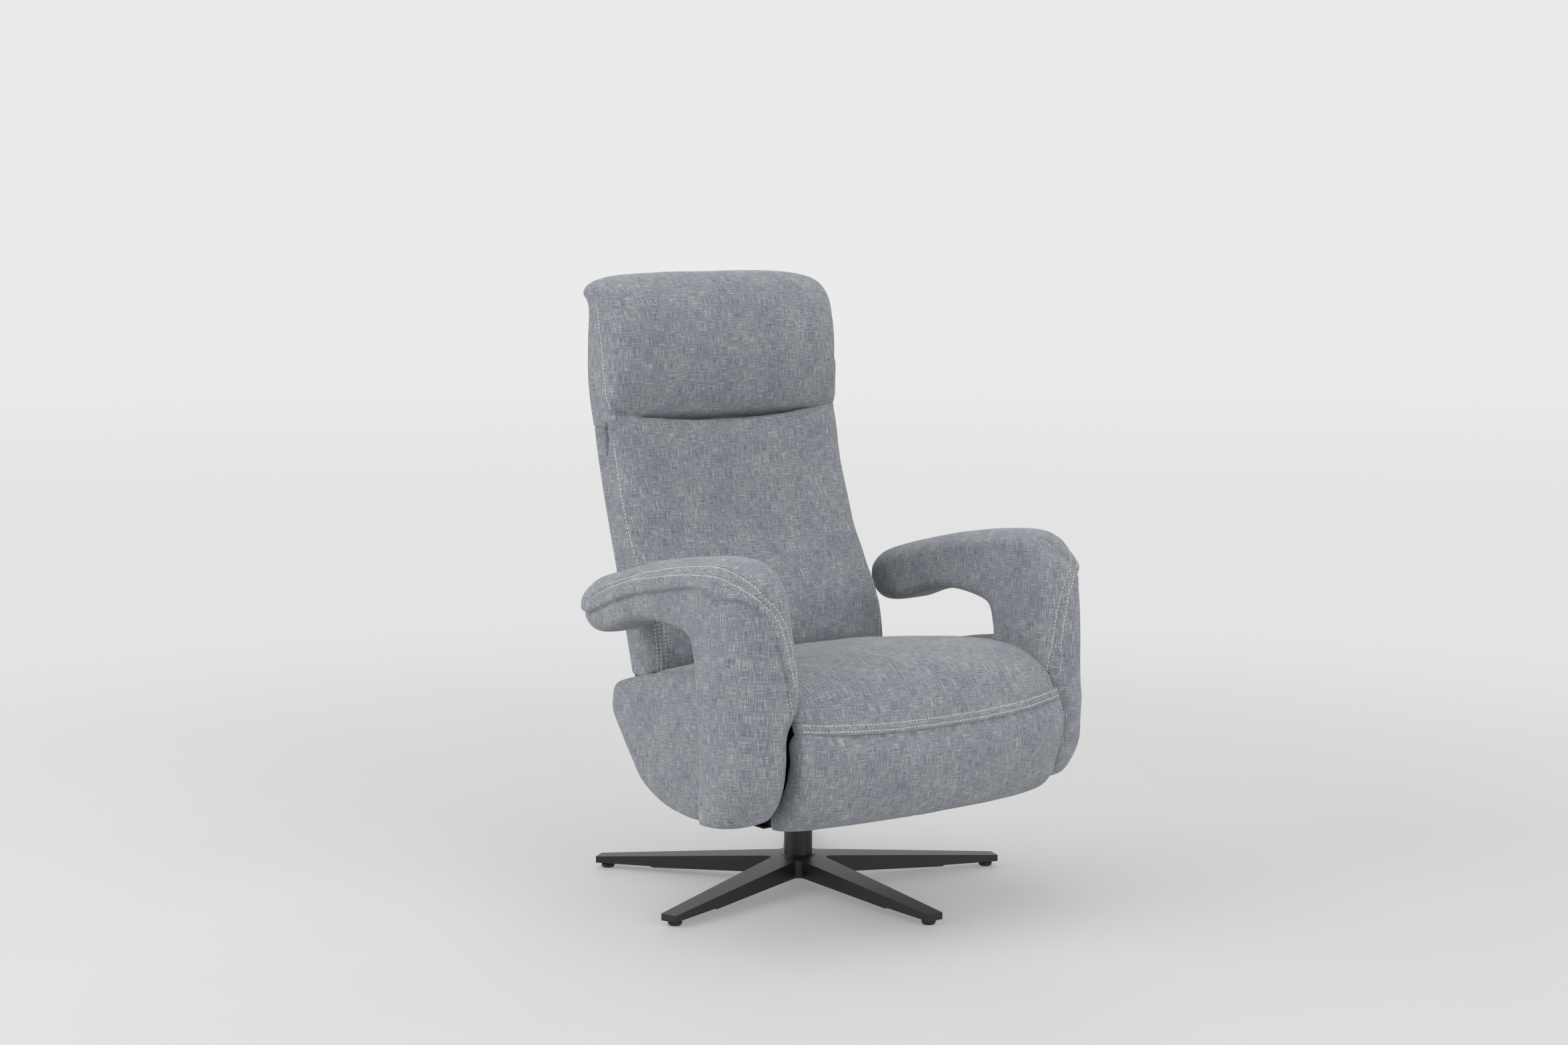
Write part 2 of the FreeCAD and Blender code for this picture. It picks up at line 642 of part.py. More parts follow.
def ears():
    """Bent plates from the hinge round the foot of the back cushion to the uprights."""
    corners = [("recline_y - 14", "recline_z - 13"), ("recline_y + 60", "recline_z - 13"),
               ("recline_y + 96", "recline_z + 30"), ("recline_y + 115", "recline_z + 110"),
               ("recline_y + 95", "recline_z + 110"), ("recline_y + 74", "recline_z + 26"),
               ("recline_y - 14", "recline_z + 14")]
    holes = [("recline_y", "recline_z", "pin_radius + running_gap")]
    both_sides(plate, "recline_ear", "side_plate_x - 9", "6", corners, holes, 5)


def back_profile(height):
    """Front edge of the back shell at a height, from its foot to the headrest."""
    spots = [(376, 78), (460, 84), (568, 138), (714, 203), (830, 232)]
    for (low, front), (high, behind) in zip(spots, spots[1:]):
        if height <= high:
            return front + (behind - front) * (height - low) / (high - low)
    return spots[-1][1]


def crowned_section(height, half, front, rear, crown, tuck):
    """A level section of a pad: straight behind, bowed in front, with rounded sides."""
    side = half - tuck
    return curve_wire([
        [(-side, rear, height), (-side - 4, (front + rear) / 2, height), (-side + 10, front, height)],
        [(-side + 10, front, height), (0, front - crown, height), (side - 10, front, height)],
        [(side - 10, front, height), (side + 4, (front + rear) / 2, height), (side, rear, height)],
        [(side, rear, height), (-side, rear, height)],
    ])


def head_cylinder(radius):
    """The round that the headrest's lower end turns on."""
    centre = Vector(-400, size("head_y"), size("head_z"))
    return Part.makeCylinder(radius, 800, centre, Vector(1, 0, 0))


def back_cushion():
    """Back cushion: bowed pad in front of the shell, cut round below the headrest."""
    half = size("back_half")
    sections = []
    for height, thickness, crown, tuck in ((377, 6, 4, 20), (404, 9, 5, 8), (480, 16, 26, 4),
                                           (590, 16, 24, 3), (710, 16, 20, 3), (812, 22, 14, 4)):
        rear = back_profile(height) - 1
        sections.append(crowned_section(height, half, rear - thickness, rear, crown, tuck))
    cushion = Part.makeLoft(sections, True, False)
    cushion = cushion.cut(head_cylinder(size("head_radius") + 1.5))
    lip = Part.makeBox(800, 60, 60, Vector(-400, 160, size("head_z") - 30))
    return solid_piece("back_cushion", cushion.cut(lip).cut(back_foam()).cut(back_shell()))


def back_foam():
    """Foam core between the webbing and the cushion."""
    lean = math.tan(math.radians(size("back_lean")))
    low, high = 400, 764

    def webbing(height):
        return size("back_foot_y") + (height - size("back_foot_z")) * lean - 2.6

    heights = (low, 460, 568, 714, high)
    half = 203
    front = [Vector(-half, back_profile(z) + 0.5, z) for z in heights]
    rear = [Vector(-half, webbing(z), z) for z in (high, low)]
    face = Part.Face(Part.makePolygon(front + rear + front[:1]))
    foam = face.extrude(Vector(2 * half, 0, 0))
    solid_piece("back_foam", foam)
    return foam


def back_shell():
    """Rear shell of the back: a curved panel whose sides come forward to the cushion."""
    half = size("back_half") - 3
    stations = ((380, 188), (460, 208), (560, 234), (680, 266), (796, 293))

    def section(height, rear, inset):
        front = back_profile(height) + 0.5 - (20 if inset else 0)
        side = half - inset
        rear = rear - inset
        turn = 26 - inset
        return curve_wire([
            [(-side, front, height), (-side, rear - turn, height)],
            [(-side, rear - turn, height), (-side + 0.3 * turn, rear - 0.3 * turn, height),
             (-side + turn, rear, height)],
            [(-side + turn, rear, height), (side - turn, rear, height)],
            [(side - turn, rear, height), (side - 0.3 * turn, rear - 0.3 * turn, height),
             (side, rear - turn, height)],
            [(side, rear - turn, height), (side, front, height)],
            [(side, front, height), (-side, front, height)],
        ])

    outer = Part.makeLoft([section(z, rear, 0) for z, rear in stations], True, False)
    inner = Part.makeLoft([section(z, rear, 10) for z, rear in ((370, 185), *stations[1:-1], (810, 297))],
                          True, False)
    shell = outer.cut(inner).cut(head_cylinder(size("head_radius") + 1.5))
    solid_piece("back_shell", shell)
    return shell


def headrest():
    """Headrest: a thick pad rolled over the top, its board and its rear cover."""
    centre = (size("head_y"), size("head_z"))
    radius = size("head_radius")

    def section(x, tuck, crown):
        runs = [
            [(x, centre[0] + 26, centre[1] - 34), (x, centre[0], centre[1] - radius),
             (x, centre[0] - radius + 2 + tuck, centre[1] - 6)],
            [(x, centre[0] - radius + 2 + tuck, centre[1] - 6), (x, 196 - crown + tuck, 920),
             (x, 212 - crown / 2 + tuck, 1010 - tuck)],
            [(x, 212 - crown / 2 + tuck, 1010 - tuck), (x, 238, 1052 - tuck), (x, 286, 1074 - tuck)],
            [(x, 286, 1074 - tuck), (x, 326, 1066 - tuck), (x, 340 - tuck / 2, 1046 - tuck / 2)],
            [(x, 340 - tuck / 2, 1046 - tuck / 2), (x, 328, 1030), (x, 300, 1022)],
            [(x, 300, 1022), (x, 278, 1004)],
            [(x, 278, 1004), (x, centre[0] + 26, centre[1] - 34)],
        ]
        return curve_wire(runs)

    half = size("back_half")
    stations = [(-1, 18, 0), (-0.6, 1, 8), (0, 0, 12), (0.6, 1, 8), (1, 18, 0)]
    pad_solid = Part.makeLoft([section(at * half, tuck, crown) for at, tuck, crown in stations], True, False)
    for x in (-216, 190):
        slot = Part.makeBox(26, 100, 66, Vector(x, centre[0] - 70, centre[1] - 50))
        pocket = Part.makeBox(26, 60, 108, Vector(x, centre[0] - 20, centre[1] - 14))
        pad_solid = pad_solid.cut(slot).cut(pocket)
    solid_piece("headrest_cushion", pad_solid)
    keep(box(-212, 280, 842, 424, 9, 160), "headrest_board")
    cover = []
    for inset in (0, 7):
        wires = []
        for z, rear in ((826, 300), (895, 313), (960, 308), (1012, 297)):
            side = half - 8 - inset
            rear = rear - inset
            wires.append(curve_wire([
                [(-side, 262, z), (-side, rear - 20, z)],
                [(-side, rear - 20, z), (-side + 7, rear - 6, z), (-side + 24, rear, z)],
                [(-side + 24, rear, z), (side - 24, rear, z)],
                [(side - 24, rear, z), (side - 7, rear - 6, z), (side, rear - 20, z)],
                [(side, rear - 20, z), (side, 262, z)],
                [(side, 262, z), (-side, 262, z)],
            ]))
        cover.append(Part.makeLoft(wires, True, False))
    solid_piece("headrest_cover", cover[0].cut(cover[1]).cut(pad_solid))


def headrest_hinges():
    """Ratchet hinges: a plate on each upright and one on the board, joined by a pin."""
    lower = [("head_y - 12", "head_z + 8"), ("head_y - 17", "head_z - 100"), ("head_y + 4", "head_z - 106"),
             ("head_y + 12", "head_z + 8"), ("head_y", "head_z + 13")]
    upper = [("head_y - 12", "head_z"), ("head_y", "head_z - 13"), ("head_y + 12", "head_z"),
             ("279.9", "head_z + 40"), ("279.9", "head_z + 90"), ("266", "head_z + 90"), ("head_y - 10", "head_z + 14")]
    both_sides(plate, "ratchet_lower", "205", "5.9", lower, [("head_y", "head_z", "5.05")])
    for label, start in (("right", 197), ("left", -211)):
        x = start if start > 0 else -202
        body = new_body("ratchet_plate_" + label, x)
        sketch = new_sketch(body, "YZ_Plane")
        draw_polygon(sketch, upper)
        pad(body, sketch, 5)
        pin = rod(5, 14, start, "head_y", "head_z", "x")
        keep(fuse(body, pin), "ratchet_upper_" + label)


def legrest():
    """Legrest: padded panel on a board, hung from hinges inside the seat's nose."""
    hinge = (size("legrest_y"), size("legrest_z"))
    radius = size("nose_radius + nose_gap")

    def on_round(degrees):
        turn = math.radians(degrees)
        return (hinge[0] - radius * math.sin(turn), hinge[1] - radius * math.cos(turn))

    def section(x, tuck, forward):
        front = on_round(10 + forward)
        rear = on_round(-25)
        runs = [
            [(x, *rear), (x, *on_round((forward - 15) / 2)), (x, *front)],
            [(x, *front), (x, -386 - 1.0 * forward + tuck, 312), (x, -366 - 1.1 * forward + tuck, 252)],
            [(x, -366 - 1.1 * forward + tuck, 252), (x, -336 - 1.2 * forward + tuck, 202 + tuck / 2),
             (x, -292, 180 + tuck)],
            [(x, -292, 180 + tuck), (x, -292, 214)],
            [(x, -292, 214), (x, rear[0], 262)],
            [(x, rear[0], 262), (x, *rear)],
        ]
        return curve_wire(runs)

    half = size("seat_half")
    stations = [(-1, 7, 0), (-0.6, 0, 19), (0, 0, 30), (0.6, 0, 19), (1, 7, 0)]
    pad_solid = Part.makeLoft([section(at * half, tuck, forward) for at, tuck, forward in stations], True, False)
    solid_piece("legrest_cushion", pad_solid)
    rear = on_round(-25)[0]
    keep(box(-262, rear + 0.2, 266, 524, 10, 74), "legrest_board")
    board_back = rear + 10.2
    arm = [("legrest_y - 9", "legrest_z + 4"), ("legrest_y - 8", "legrest_z - 20"), (f"{board_back}", "legrest_z - 52"),
           (f"{board_back}", "290"), (f"{board_back + 14}", "290"), (f"{board_back + 14}", "legrest_z - 40"),
           ("legrest_y + 9", "legrest_z + 2"), ("legrest_y + 4", "legrest_z + 9"), ("legrest_y - 4", "legrest_z + 9")]
    both_sides(plate, "legrest_arm", "92", "5", arm, [("legrest_y", "legrest_z", "4.05")])


def legrest_brackets():
    """Brackets on the seat frame that hold the legrest's hinge pins."""
    corners = [("-317", "frame_top + 0.1"), ("-290", "frame_top + 0.1"), ("-290", "frame_top + 6"),
               ("legrest_y + 7", "legrest_z + 8"), ("legrest_y - 6", "legrest_z + 8"),
               ("legrest_y - 9", "legrest_z - 5"), ("legrest_y + 4", "legrest_z - 9")]
    for label, x, start in (("right", 99, 90), ("left", -103, -103)):
        body = new_body("bracket_" + label, x)
        sketch = new_sketch(body, "YZ_Plane")
        draw_polygon(sketch, corners)
        pad(body, sketch, 4)
        pin = rod(4, 13, start, "legrest_y", "legrest_z", "x")
        keep(fuse(body, pin), "legrest_bracket_" + label)


def export():
    doc.recompute()
    for thing in doc.Objects:
        if {"Invalid", "Error"} & set(thing.State):
            raise SystemExit(f"{thing.Label} is {thing.State}")
    os.makedirs("parts", exist_ok=True)
    for thing in pieces:
        shape = thing.Shape
        if shape.isNull() or not shape.isValid():
            raise SystemExit(f"{thing.Label} has no valid shape")
        shape.exportStep(f"parts/{thing.Label}.step")
    print(len(pieces), "pieces")


star_base()
floor_glides()
column()
spindle()
crossbars()
side_plates()
hinge_pins()
seat_frame()
seat_cushion()
underbody_cover()
side_panels()
arms()
arm_bolts()
gas_spring()
recline_parts()
ears()
back_frame()
back_cushion()
headrest()
headrest_hinges()
legrest()
legrest_brackets()
export()
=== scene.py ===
import json
import math

import bmesh
import bpy
import numpy as np
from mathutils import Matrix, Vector, noise
from mathutils.bvhtree import BVHTree
from mathutils.kdtree import KDTree


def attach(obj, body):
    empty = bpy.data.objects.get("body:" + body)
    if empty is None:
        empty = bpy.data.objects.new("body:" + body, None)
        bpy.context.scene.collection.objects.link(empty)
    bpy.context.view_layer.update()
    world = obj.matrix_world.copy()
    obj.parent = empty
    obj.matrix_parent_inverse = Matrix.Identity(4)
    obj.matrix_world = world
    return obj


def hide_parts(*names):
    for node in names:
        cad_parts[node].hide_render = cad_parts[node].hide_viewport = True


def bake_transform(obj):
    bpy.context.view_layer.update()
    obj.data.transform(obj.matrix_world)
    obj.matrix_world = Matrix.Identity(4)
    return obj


# Star base swivel recliner: its upholstery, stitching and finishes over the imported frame. Outlines
# are in millimetres from the foot of the swivel axis. The sitter faces -Y, and left and right are as
# seen from the front, so that left is at -X.
MM = 0.001
SWIVEL_Y = 40

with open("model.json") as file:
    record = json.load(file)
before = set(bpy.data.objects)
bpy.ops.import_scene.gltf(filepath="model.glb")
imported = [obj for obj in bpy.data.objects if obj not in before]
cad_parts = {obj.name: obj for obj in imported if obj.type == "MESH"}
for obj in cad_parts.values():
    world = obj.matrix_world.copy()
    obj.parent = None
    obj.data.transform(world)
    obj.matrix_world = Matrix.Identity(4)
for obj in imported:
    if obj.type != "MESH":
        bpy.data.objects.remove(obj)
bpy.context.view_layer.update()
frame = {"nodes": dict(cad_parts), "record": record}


def at(x, y, z):
    """A point of the row frame, in metres, from millimetres about the swivel axis."""
    return Vector((x, y + SWIVEL_Y, z)) * MM


CURVE_STEPS = 12


def smooth_rows(values, steps):
    """Catmull-Rom values between the rows of a table."""
    table = np.array(values, float).reshape(len(values), -1)
    padded = np.vstack([2 * table[0] - table[1], table, 2 * table[-1] - table[-2]])
    result = []
    for index in range(len(table) - 1):
        a, b, c, d = padded[index:index + 4]
        for share in np.linspace(0, 1, steps, endpoint=False):
            result.append(0.5 * (2 * b + (c - a) * share + (2 * a - 5 * b + 4 * c - d) * share**2
                                 + (3 * b - a - 3 * c + d) * share**3))
    return np.array([*result, table[-1]])


def even_steps(line, count):
    """Points at even distances along a line."""
    line = np.array(line, float)
    run = np.concatenate([[0], np.cumsum(np.linalg.norm(np.diff(line, axis=0), axis=1))])
    wanted = np.linspace(0, run[-1], count)
    return np.column_stack([np.interp(wanted, run, line[:, axis]) for axis in range(line.shape[1])])


def curve_through(points, count):
    """Points at even distances along a smooth curve through the given ones."""
    return even_steps(smooth_rows(points, CURVE_STEPS), count)


def chained(*runs):
    """A closed ring from smooth runs of (points, count) that follow one another."""
    return np.vstack([curve_through(points, count + 1)[:-1] for points, count in runs])


def between(first, second, share):
    """The outline at a share of the way from the first to the second."""
    return [tuple(a + (b - a) * share for a, b in zip(one, two)) for one, two in zip(first, second)]


def end_tuck(inside, radius):
    """How far a rounded end draws in, at a distance inside it."""
    return radius - math.sqrt(max(0, radius**2 - max(0, radius - inside) ** 2))


def new_piece(name, spots, faces):
    """A mesh object from points in metres."""
    mesh = bpy.data.meshes.new(name)
    mesh.from_pydata([tuple(spot) for spot in spots], [], faces)
    mesh.update()
    piece = bpy.data.objects.new(name, mesh)
    bpy.context.scene.collection.objects.link(piece)
    return piece


def loft(name, rings):
    """A closed skin over rings of equal counts, in millimetres, with both ends filled."""
    count = len(rings[0])
    spots = [at(*spot) for ring in rings for spot in ring]
    faces = []
    for row in range(len(rings) - 1):
        for step in range(count):
            after = (step + 1) % count
            faces.append((row * count + step, row * count + after,
                          (row + 1) * count + after, (row + 1) * count + step))
    for row in (0, len(rings) - 1):
        middle = len(spots)
        spots.append(sum(spots[row * count:(row + 1) * count], Vector()) / count)
        for step in range(count):
            faces.append((row * count + step, row * count + (step + 1) % count, middle))
    piece = new_piece(name, spots, faces)
    tidy_normals(piece)
    return piece


def shade_smooth(piece):
    piece.data.polygons.foreach_set("use_smooth", [True] * len(piece.data.polygons))
    piece.data.update()


def tidy_normals(piece):
    """Turn every face outward and shade the piece smooth."""
    work = bmesh.new()
    work.from_mesh(piece.data)
    bmesh.ops.recalc_face_normals(work, faces=work.faces)
    work.to_mesh(piece.data)
    work.free()
    shade_smooth(piece)


def apply_modifiers(piece):
    graph = bpy.context.evaluated_depsgraph_get()
    graph.update()
    final = bpy.data.meshes.new_from_object(piece.evaluated_get(graph))
    piece.modifiers.clear()
    old = piece.data
    piece.data = final
    bpy.data.meshes.remove(old)
    shade_smooth(piece)


def subdivided(piece, levels=1):
    smooth = piece.modifiers.new("smooth", "SUBSURF")
    smooth.levels = smooth.render_levels = levels
    apply_modifiers(piece)
    return piece


def corners_of(piece):
    """The corners of a piece's mesh, one row each."""
    spots = np.empty(len(piece.data.vertices) * 3)
    piece.data.vertices.foreach_get("co", spots)
    return spots.reshape(-1, 3)


def directions_of(piece):
    """The outward direction at each corner."""
    normals = np.empty(len(piece.data.vertices) * 3)
    piece.data.vertices.foreach_get("normal", normals)
    return normals.reshape(-1, 3)


def set_corners(piece, spots):
    piece.data.vertices.foreach_set("co", spots.ravel())
    piece.data.update()


CLOTH_VOXEL = 6
CLOTH_PRESSURE = 4
CLOTH_FRAMES = 20


def inflated(piece, most):
    """The piece as filled cloth: remeshed, blown up, and held within a distance of its pattern."""
    remesh = piece.modifiers.new("remesh", "REMESH")
    remesh.mode = "VOXEL"
    remesh.voxel_size = CLOTH_VOXEL * MM
    remesh.use_smooth_shade = True
    apply_modifiers(piece)
    before = corners_of(piece)
    cloth = piece.modifiers.new("cloth", "CLOTH")
    cloth.settings.effector_weights.gravity = 0
    cloth.settings.use_pressure = True
    cloth.settings.uniform_pressure_force = CLOTH_PRESSURE
    scene = bpy.context.scene
    cloth.point_cache.frame_start, cloth.point_cache.frame_end = 1, CLOTH_FRAMES
    for number in range(1, CLOTH_FRAMES + 1):
        scene.frame_set(number)
    apply_modifiers(piece)
    scene.frame_set(1)
    moved = corners_of(piece) - before
    length = np.linalg.norm(moved, axis=1, keepdims=True)
    held = np.minimum(length, most * MM * np.tanh(length / (most * MM)))
    kept = np.divide(held, length, out=np.zeros_like(length), where=length > 0)
    set_corners(piece, before + moved * kept)
    return subdivided(piece)


SEAM_SAMPLES = 6


def sewn(piece, line, depth, width, puff):
    """Draw the cloth in along a seam, with a slight roll on both sides of it."""
    dense = even_steps(line, len(line) * SEAM_SAMPLES)
    tree = KDTree(len(dense))
    for index, spot in enumerate(dense):
        tree.insert(at(*spot), index)
    tree.balance()
    spots, normals = corners_of(piece), directions_of(piece)
    reach = 4 * width
    low, high = dense.min(axis=0) - reach, dense.max(axis=0) + reach
    local = spots / MM - (0, SWIVEL_Y, 0)
    near = np.all((local > low) & (local < high), axis=1)
    for index in np.nonzero(near)[0]:
        away = tree.find(Vector(spots[index]))[2] / MM
        if away < reach:
            pull = -depth * math.exp(-((away / width) ** 2))
            swell = puff * math.exp(-(((away - 2 * width) / width) ** 2))
            spots[index] += normals[index] * (pull + swell) * MM
    set_corners(piece, spots)


def creased(piece, amount, grain, seed):
    """Shallow uneven folds of cloth over foam: grain gives the folds' sizes along X, Y and Z."""
    spots, normals = corners_of(piece), directions_of(piece)
    shift = Vector((seed * 7.3, seed * 3.1, seed * 5.7))
    scaled = spots / (np.array(grain) * MM)
    heights = np.array([noise.noise(Vector(spot) + shift) for spot in scaled])
    set_corners(piece, spots + normals * (heights * amount * MM)[:, None])


# A stitch: its pitch, length and radius, then its sections as (place along, thickness, height), both
# in radii, and the sides of each section. The end sections dive into the cloth.
STITCH_STEP = 6.4
STITCH_LENGTH = 4.8
STITCH_RADIUS = 0.8
STITCH_LIFT = 0.35
STITCH_SHAPE = ((-0.5, 0.35, -1.1), (-0.3, 0.9, -0.1), (0, 1, 0.25), (0.3, 0.9, -0.1), (0.5, 0.35, -1.1))
STITCH_SIDES = 6
SHORTEST_RUN = 0.01


def stitched(name, piece, line, body):
    """A row of thread stitches laid on a piece along a line. With no body, it is left unattached."""
    surface = BVHTree.FromObject(piece, bpy.context.evaluated_depsgraph_get())
    total = np.sum(np.linalg.norm(np.diff(np.array(line, float), axis=0), axis=1))
    count = int(total / STITCH_STEP)
    marks = even_steps(line, count * 2 + 1)
    spots, faces = [], []
    for index in range(count):
        start, start_up = surface.find_nearest(at(*marks[2 * index]))[:2]
        end, end_up = surface.find_nearest(at(*marks[2 * index + 1]))[:2]
        run = end - start
        if run.length < SHORTEST_RUN * MM:
            continue
        up = (start_up + end_up).normalized()
        middle = (start + end) / 2 + up * STITCH_RADIUS * STITCH_LIFT * MM
        add_stitch(spots, faces, middle, run.normalized() * STITCH_LENGTH * MM, up)
    row = new_piece(name, spots, faces)
    tidy_normals(row)
    row.data.materials.append(materials["thread"])
    if body:
        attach(row, body)
    return row


def add_stitch(spots, faces, middle, run, up):
    """One plump stitch: a spindle along a run, with its ends in the cloth."""
    side = run.cross(up).normalized()
    first = len(spots)
    radius = STITCH_RADIUS * MM
    for along, thick, lift in STITCH_SHAPE:
        for turn in range(STITCH_SIDES):
            angle = 2 * math.pi * turn / STITCH_SIDES
            spots.append(middle + run * along + up * radius * (lift + thick * math.sin(angle))
                         + side * radius * thick * math.cos(angle))
    starts = [first + row * STITCH_SIDES for row in range(len(STITCH_SHAPE))]
    for start, following in zip(starts, starts[1:]):
        for turn in range(STITCH_SIDES):
            after = (turn + 1) % STITCH_SIDES
            faces.append((start + turn, start + after, following + after, following + turn))
    for start in (starts[0], starts[-1]):
        faces.append(tuple(start + turn for turn in range(STITCH_SIDES)))


def upholstered(piece, body, *nodes, fill=0.8):
    """Clothe a padded piece that stands for some nodes. With no body, it is left unattached."""
    piece.data.materials.clear()
    piece.data.materials.append(materials["cover_fabric"])
    if body:
        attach(piece, body)
    if nodes:
        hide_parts(*nodes)


def srgb(code):
    """The linear colour of an sRGB hex code."""
    channels = [int(code[index:index + 2], 16) / 255 for index in (1, 3, 5)]
    linear = [c / 12.92 if c <= 0.04045 else ((c + 0.055) / 1.055) ** 2.4 for c in channels]
    return (*linear, 1)


def add(tree, kind, inputs=None, **settings):
    """Add a node: its settings by name, and its inputs as values or as sockets to link."""
    made = tree.nodes.new("ShaderNode" + kind)
    for name, value in settings.items():
        setattr(made, name, value)
    for key, value in (inputs or {}).items():
        socket = made.inputs[key]
        if isinstance(value, bpy.types.NodeSocket):
            tree.links.new(value, socket)
        else:
            socket.default_value = value
    return made


def stops(ramp, *places):
    """Set a colour ramp's stops, each a place and a colour."""
    elements = ramp.color_ramp.elements
    while len(elements) < len(places):
        elements.new(1)
    for element, (place, colour) in zip(elements, places):
        element.position = place
        element.color = srgb(colour)
    return ramp.outputs["Color"]


def new_material(name):
    """A material with its tree and its shader."""
    made = bpy.data.materials.new(name)
    made.use_nodes = True
    tree = made.node_tree
    tree.nodes.clear()
    shader = add(tree, "BsdfPrincipled")
    add(tree, "OutputMaterial", {"Surface": shader.outputs[0]})
    return made, tree, shader


def cloth_plane(tree):
    """Coordinates in the cloth's own plane: the weave turns with the way that a surface faces."""
    coordinates = add(tree, "TexCoord")
    spot = add(tree, "SeparateXYZ", {0: coordinates.outputs["Object"]})
    facing = add(tree, "SeparateXYZ", {0: coordinates.outputs["Normal"]})
    x, y, z = (add(tree, "Math", {0: facing.outputs[axis]}, operation="ABSOLUTE").outputs[0]
               for axis in range(3))
    besides_x = add(tree, "Math", {0: y, 1: z}, operation="MAXIMUM").outputs[0]
    besides_z = add(tree, "Math", {0: x, 1: y}, operation="MAXIMUM").outputs[0]
    sideways = add(tree, "Math", {0: x, 1: besides_x}, operation="GREATER_THAN").outputs[0]
    level = add(tree, "Math", {0: z, 1: besides_z}, operation="GREATER_THAN").outputs[0]
    across = add(tree, "Mix", {0: sideways, 2: spot.outputs[0], 3: spot.outputs[1]}).outputs[0]
    along = add(tree, "Mix", {0: level, 2: spot.outputs[2], 3: spot.outputs[1]}).outputs[0]
    return add(tree, "CombineXYZ", {0: across, 1: along}).outputs[0]


# Width of a yarn and length of a slub. The real yarn is about 0.6 mm wide, which is too fine to show
# in the render, so it is drawn at twice that. Each yarn runs from dark stretches to pale slubs.
THREAD = 1.3
SLUB = 22
SHADE_SIZE = 55
WARP = ((0.31, "#4e5660"), (0.45, "#7a8088"), (0.57, "#979a9f"), (0.72, "#d2d2cf"))
WEFT = ((0.31, "#545b64"), (0.44, "#7f848b"), (0.58, "#999b9e"), (0.72, "#d4d1ca"))


def melange_cloth():
    """Flat woven melange: blue-grey yarns with pale and dark slubs, which streak it both ways."""
    made, tree, shader = new_material("woven_melange_polyester")
    plane = cloth_plane(tree)
    colours, heights = [], []
    for stretch, tones in (((THREAD, SLUB, 1), WARP), ((SLUB, THREAD, 1), WEFT)):
        scale = tuple(1 / (size * MM) for size in stretch)
        yarn = add(tree, "Mapping", {"Vector": plane, "Scale": scale}).outputs[0]
        slubs = add(tree, "TexNoise", {"Vector": yarn, "Scale": 1.0, "Detail": 2.0, "Roughness": 0.55})
        colours.append(stops(add(tree, "ValToRGB", {"Fac": slubs.outputs["Fac"]}), *tones))
        heights.append(slubs.outputs["Fac"])
    weave = add(tree, "TexNoise", {"Vector": plane, "Scale": 1 / (1.2 * THREAD * MM), "Detail": 0.0})
    over = add(tree, "MapRange", {0: weave.outputs["Fac"], 1: 0.4, 2: 0.6, 3: 0.2, 4: 0.8}).outputs[0]
    threads = add(tree, "Mix", {0: over, 6: colours[0], 7: colours[1]}, data_type="RGBA").outputs[2]
    coordinates = add(tree, "TexCoord").outputs["Object"]
    shade = add(tree, "TexNoise", {"Vector": coordinates, "Scale": 1 / (SHADE_SIZE * MM), "Detail": 2.0})
    tone = stops(add(tree, "ValToRGB", {"Fac": shade.outputs["Fac"]}), (0.3, "#e9ebee"), (0.7, "#ffffff"))
    colour = add(tree, "Mix", {0: 1.0, 6: threads, 7: tone}, data_type="RGBA",
                 blend_type="MULTIPLY").outputs[2]
    yarns = add(tree, "Math", {0: heights[0], 1: heights[1]}, operation="ADD").outputs[0]
    height = add(tree, "Math", {0: yarns, 1: weave.outputs["Fac"]}, operation="ADD").outputs[0]
    bump = add(tree, "Bump", {"Height": height, "Strength": 0.6, "Distance": 0.001})
    shader.inputs["Roughness"].default_value = 0.92
    shader.inputs["Sheen Weight"].default_value = 0.2
    shader.inputs["Sheen Roughness"].default_value = 0.5
    shader.inputs["Specular IOR Level"].default_value = 0.25
    tree.links.new(colour, shader.inputs["Base Color"])
    tree.links.new(bump.outputs[0], shader.inputs["Normal"])
    return made


def grained(name, colours, grain, roughness, depth, metallic=0.0, stretch=(1, 1, 1), specular=0.5):
    """A material whose tone and roughness wander with a grain. Grain and depth are in millimetres."""
    made, tree, shader = new_material(name)
    coordinates = add(tree, "TexCoord").outputs["Object"]
    mapped = add(tree, "Mapping", {"Vector": coordinates, "Scale": stretch}).outputs[0]
    pattern = add(tree, "TexNoise", {"Vector": mapped, "Scale": 1 / (grain * MM), "Detail": 4.0,
                                     "Roughness": 0.6}).outputs["Fac"]
    colour = stops(add(tree, "ValToRGB", {"Fac": pattern}), (0.3, colours[0]), (0.7, colours[1]))
    tree.links.new(colour, shader.inputs["Base Color"])
    low, high = roughness
    rough = add(tree, "MapRange", {0: pattern, 1: 0.3, 2: 0.7, 3: low, 4: high}).outputs[0]
    tree.links.new(rough, shader.inputs["Roughness"])
    shader.inputs["Metallic"].default_value = metallic
    if not metallic:
        shader.inputs["Specular IOR Level"].default_value = specular
    bump = add(tree, "Bump", {"Height": pattern, "Strength": 0.5, "Distance": depth * MM})
    tree.links.new(bump.outputs[0], shader.inputs["Normal"])
    return made


